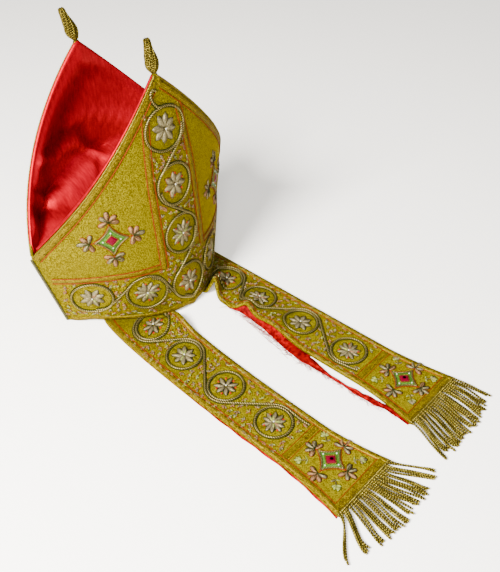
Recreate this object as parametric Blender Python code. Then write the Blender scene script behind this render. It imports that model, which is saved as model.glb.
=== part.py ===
# Bishop's mitre on a table: two embroidered shields, red crown lining, two lappets with fringes.
# Metres, +Z up, table at Z 0. The front shield faces -Y and the lappets lie towards +Y.

import math

import bmesh
import bpy
from mathutils import Matrix, Vector

# clearance between two pieces that touch in the real thing
GAP = 0.0003

# shields: height of the side corners and of the peaks, and half-widths at those heights
CLEFT_HEIGHT = 0.101
PEAK_HEIGHT = 0.267
RIM_HALF = 0.108
CLEFT_HALF = 0.137
CURVE_HALF = 0.162  # where the section's curve would end at the height of the peaks
PEAK_FLAT = 0.005  # width of the blunt peak that carries the finial
SHIELD_WALL = 0.0024
# how far each shield stands out from the seam plane at the rim, the corners and the peak
BACK_RIM_DEPTH = 0.085
BACK_CLEFT_DEPTH = 0.075
BACK_PEAK_DEPTH = 0.052
FRONT_RIM_DEPTH = 0.093
FRONT_CLEFT_DEPTH = 0.078
FRONT_PEAK_DEPTH = 0.062
# exponents of the horn's outline: fullness near the corners and near the peak
CORNER_FULLNESS = 1.19
PEAK_FULLNESS = 0.967

# crown lining that closes the top between the horns
LINING_CLOTH = 0.001
LINING_CLEARANCE = 0.0006
VALLEY_HEIGHT = 0.112  # of the cloth at the middle of the valley
VALLEY_RISE = 0.034  # from the valley up to where the cloth meets the horns
CORNER_MARGIN = 0.012  # the cloth ends this far before the side corners
PUFF_HEIGHT = 0.010  # of the loose fold on the front side of the valley
PUFF_PLACE = -0.55  # from the valley line, as a share of the way to the front horn
PUFF_REACH = 0.3

# binding cords on the side seams
SEAM_CORD_RADIUS = 0.0015

# lappets
BAND_THICKNESS = 0.0022
LAPPET_HALF = 0.031
LAPPET_END_HALF = 0.040
FLARE_LENGTH = 0.070
TUCK = 0.009  # length of lappet under the rim
SILK_THICKNESS = 0.001
SILK_SHOW = 0.0012  # the left lining stands out this far past the band's outer edge
ARCH_MARGIN = 0.010  # the rim is arched this far past each side of a lappet
ARCH_FADE = 0.012
LEFT_START_X = 0.050
LEFT_END_X = 0.0795
LEFT_BOW = 0.0093
LEFT_END_Y = 0.373
RIGHT_START_X = -0.0525
RIGHT_END_X = -0.0495
RIGHT_BOW = 0.0
RIGHT_END_Y = 0.364
BOW_EARLY = 0.6  # under 1, a lappet bows out most near its sewn end

# humps of the bands: place along the lappet, place across, height, reach along and across, all
# as shares: along and reach along of the length, across and reach across of the half-width,
# height of HUMP_HEIGHT
HUMP_HEIGHT = 0.014
HUMP_PULL = 0.32  # how far a raised edge is drawn in, for each metre that it is raised
LEFT_HUMPS = (
    dict(along=0.08, across=-0.95, height=0.65, reach=0.060, spread=0.75),
)
RIGHT_HUMPS = (
    dict(along=0.07, across=0.95, height=1.40, reach=0.028, spread=0.80),
    dict(along=0.265, across=1.05, height=1.00, reach=0.045, spread=0.90),
    dict(along=0.36, across=1.05, height=0.55, reach=0.10, spread=0.90),
)

# loosened silk beside the right lappet: place along the lappet, bare gap between band and silk,
# width of silk past that gap, as shares of the length and of SILK_SPILL
SILK_SPILL = 0.015
SILK_UNDER = 0.004  # where the silk still lies under the band, it ends this far inside its edge
SILK_ROWS = (
    dict(along=0.00, slot=0.0, strip=0.02),
    dict(along=0.12, slot=0.0, strip=0.06),
    dict(along=0.26, slot=0.0, strip=-0.40),
    dict(along=0.36, slot=0.0, strip=-0.16),
    dict(along=0.44, slot=0.0, strip=0.16),
    dict(along=0.50, slot=0.0, strip=0.45),
    dict(along=0.55, slot=0.0, strip=0.72),
    dict(along=0.60, slot=0.18, strip=0.66),
    dict(along=0.67, slot=0.50, strip=0.40),
    dict(along=0.74, slot=0.54, strip=0.36),
    dict(along=0.80, slot=0.38, strip=0.50),
    dict(along=0.86, slot=0.10, strip=0.62),
    dict(along=0.90, slot=0.0, strip=0.45),
    dict(along=0.95, slot=0.0, strip=0.22),
    dict(along=1.00, slot=0.0, strip=0.10),
)

# fringes: sideways swing and length of each lock, as shares of FRINGE_LENGTH
FRINGE_HEAD = 0.006
FRINGE_LENGTH = 0.044
FRINGE_THICKNESS = 0.003
LOCK_GAP = 0.0009
LOCK_TAPER = 0.85
LEFT_LOCKS = (
    dict(swing=-0.52, length=0.86),
    dict(swing=-0.34, length=0.93),
    dict(swing=-0.10, length=1.00),
    dict(swing=-0.05, length=0.97),
    dict(swing=-0.02, length=0.99),
    dict(swing=0.00, length=1.00),
    dict(swing=0.03, length=0.98),
    dict(swing=0.04, length=1.00),
    dict(swing=0.08, length=0.96),
    dict(swing=0.10, length=0.99),
    dict(swing=0.34, length=0.93),
    dict(swing=0.62, length=0.80),
)
RIGHT_LOCKS = (
    dict(swing=-0.22, length=0.84),
    dict(swing=-0.06, length=0.95),
    dict(swing=0.02, length=0.97),
    dict(swing=0.00, length=1.00),
    dict(swing=-0.03, length=0.97),
    dict(swing=0.02, length=1.00),
    dict(swing=0.00, length=0.96),
    dict(swing=0.05, length=0.99),
    dict(swing=0.02, length=0.95),
    dict(swing=0.10, length=0.98),
    dict(swing=0.20, length=0.90),
    dict(swing=0.34, length=0.96),
)

# finials: turned drops of wound thread; height and radius as shares of length and radius
FINIAL_LENGTH = 0.034
FINIAL_RADIUS = 0.006
FINIAL_LEAN_BACK = math.radians(8)
FINIAL_LEAN_FRONT = math.radians(19)
FINIAL_LEAN_TO = Vector((0.656, -0.755, 0.0))
FINIAL_PROFILE = (
    dict(up=0.00, wide=0.30),
    dict(up=0.06, wide=0.52),
    dict(up=0.15, wide=0.84),
    dict(up=0.25, wide=0.98),
    dict(up=0.35, wide=1.00),
    dict(up=0.50, wide=0.84),
    dict(up=0.66, wide=0.62),
    dict(up=0.82, wide=0.50),
    dict(up=0.93, wide=0.46),
    dict(up=1.00, wide=0.26),
)

# cut glass stones in the middle of each cross
STONE_HALF = 0.0034
STONE_HEIGHT = 0.0018
STONE_TABLE = 0.55  # share of the stone's width
CROSS_X = 0.075
CROSS_HEIGHT = 0.1156
LEFT_STONE_BEFORE_END = 0.040
LEFT_STONE_ASIDE = -0.0035  # from the middle of the lappet
RIGHT_STONE_BEFORE_END = 0.036
RIGHT_STONE_ASIDE = -0.005

SHIELD_COLUMNS = 30
LOW_ROWS = 6
HORN_ROWS = 13
CROWN_COLUMNS = 24
CROWN_WALL_ROWS = 6
CROWN_VALLEY_ROWS = 12
LAPPET_ROWS = 30
LAPPET_COLUMNS = 10
SILK_STEPS = 16
FINIAL_SIDES = 16
CORD_SIDES = 10
STONE_SIDES = 8


def clear_scene():
    for old in list(bpy.data.objects):
        bpy.data.objects.remove(old, do_unlink=True)


def material(name, colour, roughness, metallic):
    made = bpy.data.materials.new(name)
    made.use_nodes = True
    shader = made.node_tree.nodes["Principled BSDF"]
    shader.inputs["Base Color"].default_value = (*colour, 1.0)
    shader.inputs["Roughness"].default_value = roughness
    shader.inputs["Metallic"].default_value = metallic
    return made


# Makes one object out of a bmesh, with outward normals and smooth shading
def finish(name, mesh_maker, looks, sharp=40):
    bmesh.ops.recalc_face_normals(mesh_maker, faces=mesh_maker.faces)
    mesh = bpy.data.meshes.new(name)
    mesh_maker.to_mesh(mesh)
    mesh_maker.free()
    mesh.shade_smooth()
    mesh.set_sharp_from_angle(angle=math.radians(sharp))
    made = bpy.data.objects.new(name, mesh)
    bpy.context.scene.collection.objects.link(made)
    mesh.materials.append(material(name, *looks))
    return made


def smooth(share):
    share = min(max(share, 0.0), 1.0)
    return share * share * (3 - 2 * share)


# The quadratic through three sizes, given at the rim, the side corners and the peaks
def by_height(at_rim, at_cleft, at_peak, z):
    c, p = CLEFT_HEIGHT, PEAK_HEIGHT
    low = at_rim * (z - c) * (z - p) / (c * p)
    mid = at_cleft * z * (p - z) / (c * (p - c))
    return low + mid + at_peak * z * (z - c) / (p * (p - c))


# Half the width of the shields' curved section at height z
def curve_half(z):
    if z < CLEFT_HEIGHT:
        return RIM_HALF + (CLEFT_HALF - RIM_HALF) * z / CLEFT_HEIGHT
    return CLEFT_HALF + (CURVE_HALF - CLEFT_HALF) * (z - CLEFT_HEIGHT) / (PEAK_HEIGHT - CLEFT_HEIGHT)


def depth(side, z):
    if side > 0:
        return by_height(BACK_RIM_DEPTH, BACK_CLEFT_DEPTH, BACK_PEAK_DEPTH, z)
    return by_height(FRONT_RIM_DEPTH, FRONT_CLEFT_DEPTH, FRONT_PEAK_DEPTH, z)


# Depth and half-width of the parabola that lies the given distance inside the outer face
def section(side, z, inset):
    out, half = depth(side, z), curve_half(z)
    steep = 2 * out / half
    return out - inset, half - inset * math.sqrt(1 + steep * steep) / steep


def wall_y(side, x, z, inset=0.0):
    out, half = section(side, z, inset)
    return side * out * (1 - (x / half) ** 2)


# Half the width of a horn at height z, up to its blunt peak
def horn_half(z):
    share = (z - CLEFT_HEIGHT) / (PEAK_HEIGHT - CLEFT_HEIGHT)
    if share <= 0:
        return CLEFT_HALF
    wide = CLEFT_HALF * max(1 - share**CORNER_FULLNESS, 0) ** PEAK_FULLNESS
    return max(wide, PEAK_FLAT / 2)


# Height of the horn's edge above the place x
def horn_height(x):
    wide = min(abs(x) / CLEFT_HALF, 1.0) ** (1 / PEAK_FULLNESS)
    share = (1 - wide) ** (1 / CORNER_FULLNESS)
    return CLEFT_HEIGHT + (PEAK_HEIGHT - CLEFT_HEIGHT) * share


# Where a face of the shield ends at height z: at the seam or at the horn's edge
def face_half(side, z, inset):
    out, half = section(side, z, inset)
    seam = half * math.sqrt(1 - GAP / 2 / out)
    return min(seam, horn_half(z))


def lappet_side(name):
    if name == "left":
        return dict(start=LEFT_START_X, end=LEFT_END_X, bow=LEFT_BOW, end_y=LEFT_END_Y, humps=LEFT_HUMPS)
    return dict(start=RIGHT_START_X, end=RIGHT_END_X, bow=RIGHT_BOW, end_y=RIGHT_END_Y, humps=RIGHT_HUMPS)


def rim_y(x):
    return wall_y(1, x, 0.0)


def lappet_x(lappet, share):
    line = lappet["start"] + (lappet["end"] - lappet["start"]) * share
    early = share**BOW_EARLY
    return line + 4 * lappet["bow"] * early * (1 - early)


def lappet_length(lappet):
    return lappet["end_y"] - rim_y(lappet["start"]) + TUCK


def lappet_half(lappet, share):
    left = (1 - share) * lappet_length(lappet)
    flare = 1 - min(left / FLARE_LENGTH, 1)
    return LAPPET_HALF + (LAPPET_END_HALF - LAPPET_HALF) * flare**1.6


# A place on a lappet: share runs from its sewn end to its fringe, across from -1 to 1
def lappet_point(lappet, share, across):
    x = lappet_x(lappet, share) + across * lappet_half(lappet, share)
    first = lappet["start"] + across * LAPPET_HALF
    begin = rim_y(min(max(first, -RIM_HALF), RIM_HALF)) - TUCK
    return x, begin + (lappet["end_y"] - begin) * share


def hump(lappet, share, across):
    total = 0.0
    for bump in lappet["humps"]:
        along = (share - bump["along"]) / bump["reach"]
        aside = (across - bump["across"]) / bump["spread"]
        total += HUMP_HEIGHT * bump["height"] * math.exp(-along * along - aside * aside)
    return total * smooth(share / 0.03 - 1.1)


# How far the back shield's rim is lifted to let the lappets out under it
def arch(x):
    lift = SILK_THICKNESS + BAND_THICKNESS + 2 * GAP
    for name in ("left", "right"):
        away = abs(x - lappet_side(name)["start"]) - LAPPET_HALF - ARCH_MARGIN
        if away < ARCH_FADE:
            return lift * (1 - smooth(away / ARCH_FADE))
    return 0.0


def add_face(maker, *corners):
    if len(set(corners)) > 2:
        maker.faces.new(corners)


# Closes two grids of vertices that lie over each other into one body
def slab(maker, top, bottom):
    rows, columns = len(top), len(top[0])
    for i in range(rows - 1):
        for j in range(columns - 1):
            add_face(maker, top[i][j], top[i][j + 1], top[i + 1][j + 1], top[i + 1][j])
            add_face(maker, bottom[i][j], bottom[i + 1][j], bottom[i + 1][j + 1], bottom[i][j + 1])
    for i in range(rows - 1):
        for j in (0, columns - 1):
            add_face(maker, top[i][j], top[i + 1][j], bottom[i + 1][j], bottom[i][j])
    for j in range(columns - 1):
        for i in (0, rows - 1):
            add_face(maker, top[i][j], top[i][j + 1], bottom[i][j + 1], bottom[i][j])


def shield_heights():
    low = [CLEFT_HEIGHT * i / LOW_ROWS for i in range(LOW_ROWS)]
    rise = PEAK_HEIGHT - CLEFT_HEIGHT
    horn = [CLEFT_HEIGHT + rise * math.sin(math.pi / 2 * i / HORN_ROWS) ** 1.15 for i in range(HORN_ROWS + 1)]
    return low + horn


def shield_face(maker, side, inset):
    grid = []
    for z in shield_heights():
        row = []
        for j in range(SHIELD_COLUMNS + 1):
            x = face_half(side, z, inset) * (2 * j / SHIELD_COLUMNS - 1)
            lift = arch(x) * max(1 - z / CLEFT_HEIGHT, 0) ** 2 if side > 0 else 0.0
            row.append(maker.verts.new((x, wall_y(side, x, z, inset), z + lift)))
        grid.append(row)
    return grid


def build_shield(name, side):
    maker = bmesh.new()
    slab(maker, shield_face(maker, side, 0.0), shield_face(maker, side, SHIELD_WALL))
    return finish(name, maker, ((0.40, 0.33, 0.05), 0.45, 0.6))


# A place on the crown lining's middle: share runs from the front edge at -1 to the back at 1
def crown_point(x, share):
    side = 1 if share >= 0 else -1
    top = horn_height(x)
    corner = 1 - abs(x) / (CLEFT_HALF - CORNER_MARGIN)
    valley = CLEFT_HEIGHT + (VALLEY_HEIGHT - CLEFT_HEIGHT) * smooth(2 * corner)
    meet = min(valley + VALLEY_RISE * smooth(1.5 * corner), top)
    inset = SHIELD_WALL + LINING_CLEARANCE + LINING_CLOTH / 2
    limit = CROWN_VALLEY_ROWS / (CROWN_VALLEY_ROWS + 2 * CROWN_WALL_ROWS)
    if abs(share) >= limit:
        z = meet + (top - meet) * (abs(share) - limit) / (1 - limit)
        return Vector((x, wall_y(side, x, z, inset), z))
    turn = share / limit
    z = valley + (meet - valley) * (1 - math.cos(math.pi / 2 * turn))
    y = wall_y(side, x, meet, inset) * abs(math.sin(math.pi / 2 * turn))
    puff = PUFF_HEIGHT * smooth(2 * corner) * math.exp(-(((turn - PUFF_PLACE) / PUFF_REACH) ** 2))
    return Vector((x, y, z + puff * math.cos(math.pi / 2 * turn)))


def crown_normal(x, share):
    step = 0.004
    along = crown_point(x + 0.0005, share) - crown_point(x - 0.0005, share)
    up = crown_point(x, min(share + step, 1)) - crown_point(x, max(share - step, -1))
    return along.cross(up).normalized()


def build_crown_lining():
    maker = bmesh.new()
    rows = CROWN_VALLEY_ROWS + 2 * CROWN_WALL_ROWS
    reach = CLEFT_HALF - CORNER_MARGIN
    grids = ([], [])
    for i in range(rows + 1):
        share = 2 * i / rows - 1
        for grid, way in zip(grids, (0.5, -0.5)):
            row = []
            for j in range(CROWN_COLUMNS + 1):
                x = reach * math.sin(math.pi / 2 * (2 * j / CROWN_COLUMNS - 1))
                row.append(maker.verts.new(crown_point(x, share) + way * LINING_CLOTH * crown_normal(x, share)))
            grid.append(row)
    slab(maker, *grids)
    return finish("crown_lining", maker, ((0.62, 0.01, 0.02), 0.35, 0.0))


# A cord up the seam from the rim to the corner of the cleft
def build_seam_cord(name, side):
    aside = SEAM_CORD_RADIUS + GAP
    low = Vector((side * (RIM_HALF + aside), 0, SEAM_CORD_RADIUS / 2))
    high = Vector((side * (CLEFT_HALF + aside), 0, CLEFT_HEIGHT))
    along = high - low
    maker = bmesh.new()
    bmesh.ops.create_cone(
        maker, cap_ends=True, segments=CORD_SIDES, radius1=SEAM_CORD_RADIUS, radius2=SEAM_CORD_RADIUS, depth=along.length
    )
    turn = along.to_track_quat("Z", "Y").to_matrix().to_4x4()
    maker.transform(Matrix.Translation((low + high) / 2) @ turn)
    return finish(name, maker, ((0.30, 0.30, 0.18), 0.5, 0.4))


def build_finial(name, side, lean):
    maker = bmesh.new()
    rings = []
    for step in FINIAL_PROFILE:
        ring = []
        for k in range(FINIAL_SIDES):
            turn = 2 * math.pi * k / FINIAL_SIDES
            wide = FINIAL_RADIUS * step["wide"]
            ring.append(maker.verts.new((wide * math.cos(turn), wide * math.sin(turn), FINIAL_LENGTH * step["up"])))
        rings.append(ring)
    for low, high in zip(rings, rings[1:]):
        for k in range(FINIAL_SIDES):
            after = (k + 1) % FINIAL_SIDES
            maker.faces.new((low[k], low[after], high[after], high[k]))
    maker.faces.new(rings[0])
    maker.faces.new(rings[-1])
    foot = FINIAL_RADIUS * FINIAL_PROFILE[0]["wide"]
    seat = PEAK_HEIGHT + GAP + foot * math.sin(lean)
    y = wall_y(side, 0, PEAK_HEIGHT, SHIELD_WALL / 2)
    turn = Matrix.Rotation(lean, 4, Vector((0, 0, 1)).cross(FINIAL_LEAN_TO))
    maker.transform(Matrix.Translation((0, y, seat)) @ turn)
    return finish(name, maker, ((0.42, 0.34, 0.12), 0.4, 0.8))


def build_lappet(name):
    lappet = lappet_side(name)
    low = SILK_THICKNESS + GAP
    maker = bmesh.new()
    grids = []
    for height in (low + BAND_THICKNESS, low):
        grid = []
        for i in range(LAPPET_ROWS + 1):
            share = (i / LAPPET_ROWS) ** 1.25
            row = []
            for j in range(LAPPET_COLUMNS + 1):
                across = 2 * j / LAPPET_COLUMNS - 1
                x, y = lappet_point(lappet, share, across)
                high = hump(lappet, share, across)
                row.append(maker.verts.new((x - HUMP_PULL * high * across, y, height + high)))
            grid.append(row)
        grids.append(grid)
    slab(maker, *grids)
    return finish(f"lappet_{name}", maker, ((0.40, 0.33, 0.06), 0.45, 0.6))


def build_left_silk():
    lappet = lappet_side("left")
    maker = bmesh.new()
    grids = []
    for height in (SILK_THICKNESS, 0.0):
        grid = []
        for i in range(SILK_STEPS + 1):
            share = i / SILK_STEPS
            row = []
            for across in (-0.97, 0.0, 1.0):
                x, y = lappet_point(lappet, share, across)
                row.append(maker.verts.new((x + (SILK_SHOW if across == 1.0 else 0), y, height)))
            grid.append(row)
        grids.append(grid)
    slab(maker, *grids)
    return finish("lining_left", maker, ((0.60, 0.01, 0.02), 0.4, 0.0))


# The silk has come loose: past the band's edge it lies as a strip with a bare gap beside it
def build_right_silk():
    lappet = lappet_side("right")
    maker = bmesh.new()
    before = None
    for row in SILK_ROWS:
        x, y = lappet_point(lappet, row["along"], 1.0)
        far = lappet_point(lappet, row["along"], -0.97)
        spill = min(row["strip"], 0.0) * SILK_SPILL - SILK_UNDER
        places = [
            (far[0], far[1], 0),
            (x + spill, y, 0),
            (x + spill + row["slot"] * SILK_SPILL, y, 0),
            (x + (row["slot"] + row["strip"]) * SILK_SPILL, y, 0),
        ]
        now = [maker.verts.new(place) for place in places]
        if before:
            maker.faces.new((before[0], before[1], now[1], now[0]))
            maker.faces.new((before[2], before[3], now[3], now[2]))
        before = now
    bmesh.ops.remove_doubles(maker, verts=maker.verts, dist=0.000001)
    made = bmesh.ops.extrude_face_region(maker, geom=list(maker.faces))
    raised = [item for item in made["geom"] if isinstance(item, bmesh.types.BMVert)]
    bmesh.ops.translate(maker, verts=raised, vec=(0, 0, SILK_THICKNESS))
    return finish("lining_right", maker, ((0.60, 0.01, 0.02), 0.4, 0.0))


# A head along the lappet's end with flat locks fanned out on the table
def build_fringe(name, locks):
    lappet = lappet_side(name)
    start = lappet["end_y"] + GAP
    root = start + FRINGE_HEAD
    left = lappet["end"] - LAPPET_END_HALF
    pitch = 2 * LAPPET_END_HALF / len(locks)
    outline = [(left, start)]
    for k, lock in enumerate(locks):
        near, far = left + k * pitch, left + (k + 1) * pitch
        if k > 0:
            near += LOCK_GAP / 2
        if k < len(locks) - 1:
            far -= LOCK_GAP / 2
        middle = (near + far) / 2 + lock["swing"] * FRINGE_LENGTH
        half = (far - near) / 2 * LOCK_TAPER
        tip = root + lock["length"] * FRINGE_LENGTH
        outline += [(near, root), (middle - half, tip), (middle + half, tip), (far, root)]
    outline.append((left + 2 * LAPPET_END_HALF, start))
    maker = bmesh.new()
    face = maker.faces.new([maker.verts.new((x, y, 0)) for x, y in outline])
    made = bmesh.ops.extrude_face_region(maker, geom=[face])
    raised = [item for item in made["geom"] if isinstance(item, bmesh.types.BMVert)]
    bmesh.ops.translate(maker, verts=raised, vec=(0, 0, FRINGE_THICKNESS))
    return finish(f"fringe_{name}", maker, ((0.36, 0.29, 0.09), 0.45, 0.8))


# A cut stone: eight-sided girdle, eight facets up to its table, flat back
def build_stone(name, place, facing, turn=0.0):
    maker = bmesh.new()
    rings = []
    for wide, height in ((1.0, 0.0), (1.0, 0.25), (STONE_TABLE, 1.0)):
        ring = []
        for k in range(STONE_SIDES):
            angle = 2 * math.pi * (k + 0.5) / STONE_SIDES
            reach = STONE_HALF * wide
            ring.append(maker.verts.new((reach * math.cos(angle), reach * math.sin(angle), STONE_HEIGHT * height)))
        rings.append(ring)
    for low, high in zip(rings, rings[1:]):
        for k in range(STONE_SIDES):
            after = (k + 1) % STONE_SIDES
            maker.faces.new((low[k], low[after], high[after], high[k]))
    maker.faces.new(rings[0])
    maker.faces.new(rings[-1])
    aim = facing.to_track_quat("Z", "Y").to_matrix().to_4x4()
    maker.transform(Matrix.Translation(place) @ aim @ Matrix.Rotation(turn, 4, "Z"))
    return finish(name, maker, ((0.35, 0.0, 0.03), 0.08, 0.0), sharp=10)


def shield_normal(side, x, z):
    step = 0.0005
    here = [Vector((x + a, wall_y(side, x + a, z + b), z + b)) for a, b in ((-step, 0), (step, 0), (0, -step), (0, step))]
    out = (here[1] - here[0]).cross(here[3] - here[2]).normalized()
    return out if out.y * side > 0 else -out


def build_shield_stones():
    for label, side in (("back", 1), ("front", -1)):
        for hand, way in (("left", 1), ("right", -1)):
            x = way * CROSS_X
            out = shield_normal(side, x, CROSS_HEIGHT)
            place = Vector((x, wall_y(side, x, CROSS_HEIGHT), CROSS_HEIGHT)) + out * 2 * GAP
            build_stone(f"stone_{label}_{hand}", place, out)


def build_lappet_stones():
    for name, before_end, aside in (
        ("left", LEFT_STONE_BEFORE_END, LEFT_STONE_ASIDE),
        ("right", RIGHT_STONE_BEFORE_END, RIGHT_STONE_ASIDE),
    ):
        lappet = lappet_side(name)
        share = 1 - before_end / lappet_length(lappet)
        across = aside / lappet_half(lappet, share)
        x, y = lappet_point(lappet, share, across)
        high = SILK_THICKNESS + BAND_THICKNESS + 2 * GAP + hump(lappet, share, across)
        build_stone(f"stone_lappet_{name}", Vector((x, y, high)), Vector((0, 0, 1)))


clear_scene()
build_shield("back_shield", 1)
build_shield("front_shield", -1)
build_crown_lining()
build_seam_cord("seam_cord_left", 1)
build_seam_cord("seam_cord_right", -1)
build_finial("finial_back", 1, FINIAL_LEAN_BACK)
build_finial("finial_front", -1, FINIAL_LEAN_FRONT)
build_lappet("left")
build_lappet("right")
build_left_silk()
build_right_silk()
build_fringe("left", LEFT_LOCKS)
build_fringe("right", RIGHT_LOCKS)
build_shield_stones()
build_lappet_stones()
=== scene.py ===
import math
import random

import bpy
import numpy as np
from mathutils import Matrix, Vector


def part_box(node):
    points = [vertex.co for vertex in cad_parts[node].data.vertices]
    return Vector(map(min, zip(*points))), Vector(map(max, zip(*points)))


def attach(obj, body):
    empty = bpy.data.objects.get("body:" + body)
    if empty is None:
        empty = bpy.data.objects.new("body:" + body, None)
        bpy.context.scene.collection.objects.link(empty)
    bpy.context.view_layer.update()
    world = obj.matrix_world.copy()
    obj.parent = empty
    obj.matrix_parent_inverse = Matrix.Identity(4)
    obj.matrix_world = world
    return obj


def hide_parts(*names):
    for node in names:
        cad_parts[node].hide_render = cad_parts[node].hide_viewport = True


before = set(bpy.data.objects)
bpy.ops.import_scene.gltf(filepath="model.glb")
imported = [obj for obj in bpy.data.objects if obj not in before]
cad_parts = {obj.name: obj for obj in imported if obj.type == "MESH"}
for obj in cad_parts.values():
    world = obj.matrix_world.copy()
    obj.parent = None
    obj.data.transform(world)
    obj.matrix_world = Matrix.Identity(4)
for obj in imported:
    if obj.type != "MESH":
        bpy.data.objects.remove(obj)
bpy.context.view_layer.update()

# Everything is in metres. s runs across a piece of embroidery and t up it, h stands off its cloth.
mm = 0.001

# camera, at the photo's height and angle
camera = dict(
    place=(0.4882, 0.5933, 0.6197),
    heading=(-0.7551, -0.6556),
    pitch=math.radians(40.21),
    focalPixels=837.55,
    picture=(500, 572),
)


def putObject(name, data):
    made = bpy.data.objects.new(name, data)
    bpy.context.scene.collection.objects.link(made)
    return made


def aimed(place, way):
    return Matrix.Translation(place) @ Vector(way).to_track_quat("-Z", "Y").to_matrix().to_4x4()


def makeCamera():
    data = bpy.data.cameras.new("camera")
    data.sensor_width = 36
    data.lens = camera["focalPixels"] * data.sensor_width / max(camera["picture"])
    data.clip_start = 0.01
    made = putObject("camera", data)
    level = Vector((*camera["heading"], 0)).normalized()
    look = level * math.cos(camera["pitch"]) - Vector((0, 0, 1)) * math.sin(camera["pitch"])
    made.matrix_world = aimed(camera["place"], look)
    bpy.context.scene.camera = made


light = dict(
    lamps=dict(
        window=dict(place=(1.0, 0.15, 0.95), size=0.5, watts=128, tint=(1.0, 0.985, 0.96)),
        fill=dict(place=(0.6, 1.0, 1.2), size=1.0, watts=20, tint=(0.97, 0.98, 1.0)),
        spark=dict(place=(0.75, 0.75, 1.2), size=0.2, watts=8, tint=(1.0, 0.98, 0.94)),
    ),
    aim=(0, 0.12, 0.05),
    room=(0.80, 0.79, 0.76),
    roomStrength=0.6,
)


def makeLights():
    for name, lamp in light["lamps"].items():
        data = bpy.data.lights.new(name, "AREA")
        data.shape = "DISK"
        data.size = lamp["size"]
        data.energy = lamp["watts"]
        data.color = lamp["tint"]
        way = Vector(light["aim"]) - Vector(lamp["place"])
        putObject(name, data).matrix_world = aimed(lamp["place"], way)
    world = bpy.data.worlds.new("room")
    world.use_nodes = True
    back = world.node_tree.nodes["Background"]
    back.inputs["Color"].default_value = (*light["room"], 1)
    back.inputs["Strength"].default_value = light["roomStrength"]
    bpy.context.scene.world = world


# shapes that the whole mitre follows, the same as in the part
mitre = dict(
    cleft=0.101,
    peak=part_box("back_shield")[1][2],
    rimHalf=0.108,
    cleftHalf=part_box("back_shield")[1][0],
    curveHalf=0.162,
    peakFlat=0.005,
    wall=0.0024,
    back=(0.085, 0.075, 0.052),
    front=(0.093, 0.078, 0.062),
    cornerFullness=1.19,
    peakFullness=0.967,
)


def byHeight(sizes, t):
    c, p = mitre["cleft"], mitre["peak"]
    low = sizes[0] * (t - c) * (t - p) / (c * p)
    mid = sizes[1] * t * (p - t) / (c * (p - c))
    return low + mid + sizes[2] * t * (t - c) / (p * (p - c))


def curveHalf(t):
    c, p = mitre["cleft"], mitre["peak"]
    low = mitre["rimHalf"] + (mitre["cleftHalf"] - mitre["rimHalf"]) * t / c
    high = mitre["cleftHalf"] + (mitre["curveHalf"] - mitre["cleftHalf"]) * (t - c) / (p - c)
    return np.where(t < c, low, high)


def arcLength(x, deep, half):
    bend = 2 * deep / half**2
    return x / 2 * np.sqrt(1 + (bend * x) ** 2) + np.arcsinh(bend * x) / (2 * bend)


def arcToX(s, deep, half):
    x = s * 0.8
    for _ in range(7):
        x = x - (arcLength(x, deep, half) - s) / np.sqrt(1 + (2 * deep / half**2 * x) ** 2)
    return x


def sectionOf(side, t):
    return byHeight(mitre["back"] if side > 0 else mitre["front"], t), curveHalf(t)


def shieldWall(side, x, t, inset=0.0):  # where the wall stands at x, some way in from its outer face
    deep, half = sectionOf(side, t)
    steep = 2 * deep / half
    half = half - inset * np.sqrt(1 + steep**2) / steep
    return side * (deep - inset) * (1 - (x / half) ** 2)


def hornHalf(t):
    share = np.clip((t - mitre["cleft"]) / (mitre["peak"] - mitre["cleft"]), 0, 1)
    wide = mitre["cleftHalf"] * (1 - share ** mitre["cornerFullness"]) ** mitre["peakFullness"]
    return np.maximum(wide, mitre["peakFlat"] / 2)


def hornHeight(x):
    wide = np.clip(np.abs(x) / mitre["cleftHalf"], 0, 1) ** (1 / mitre["peakFullness"])
    return mitre["cleft"] + (mitre["peak"] - mitre["cleft"]) * (1 - wide) ** (1 / mitre["cornerFullness"])


def smooth(share):
    share = np.clip(share, 0, 1)
    return share * share * (3 - 2 * share)


lappets = dict(
    left=dict(start=0.050, end=0.0795, bow=0.0093, endY=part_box("lappet_left")[1][1],
              humps=((0.08, -0.95, 0.0091, 0.060, 0.75),)),
    right=dict(start=-0.0525, end=-0.0495, bow=0.0, endY=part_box("lappet_right")[1][1],
               humps=((0.07, 0.95, 0.0196, 0.028, 0.80), (0.238, 1.05, 0.0115, 0.040, 0.90),
                      (0.36, 1.05, 0.0077, 0.10, 0.90))),
    bowEarly=0.6, pull=0.32,
    half=0.031, endHalf=0.040, flare=0.070, tuck=0.009, band=0.0022, silk=0.001, gap=0.0003,
    archMargin=0.010, archFade=0.012,
)


def rimY(x):
    x = np.clip(x, -mitre["rimHalf"], mitre["rimHalf"])
    return shieldWall(1, x, np.zeros_like(x))


def archOver(x):  # the back rim is lifted a little where the lappets come out under it
    lift = lappets["silk"] + lappets["band"] + 2 * lappets["gap"]
    total = np.zeros_like(x)
    for name in ("left", "right"):
        away = np.abs(x - lappets[name]["start"]) - lappets["half"] - lappets["archMargin"]
        total = np.maximum(total, lift * (1 - smooth(away / lappets["archFade"])))
    return total


def shieldFace(side):
    def face(s, t):
        deep, half = sectionOf(side, t)
        x = arcToX(np.abs(s), deep, half) * np.sign(s)
        y = side * deep * (1 - (x / half) ** 2)
        lift = archOver(-x) * np.clip(1 - t / mitre["cleft"], 0, 1) ** 2 if side > 0 else 0
        return np.stack([-side * x, y, t + lift], -1)
    return face


def lappetLength(strap):
    return strap["endY"] - float(rimY(np.array(strap["start"]))) + lappets["tuck"]


def lappetBegin(strap, across):
    return rimY(strap["start"] + across * lappets["half"]) - lappets["tuck"]


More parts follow.
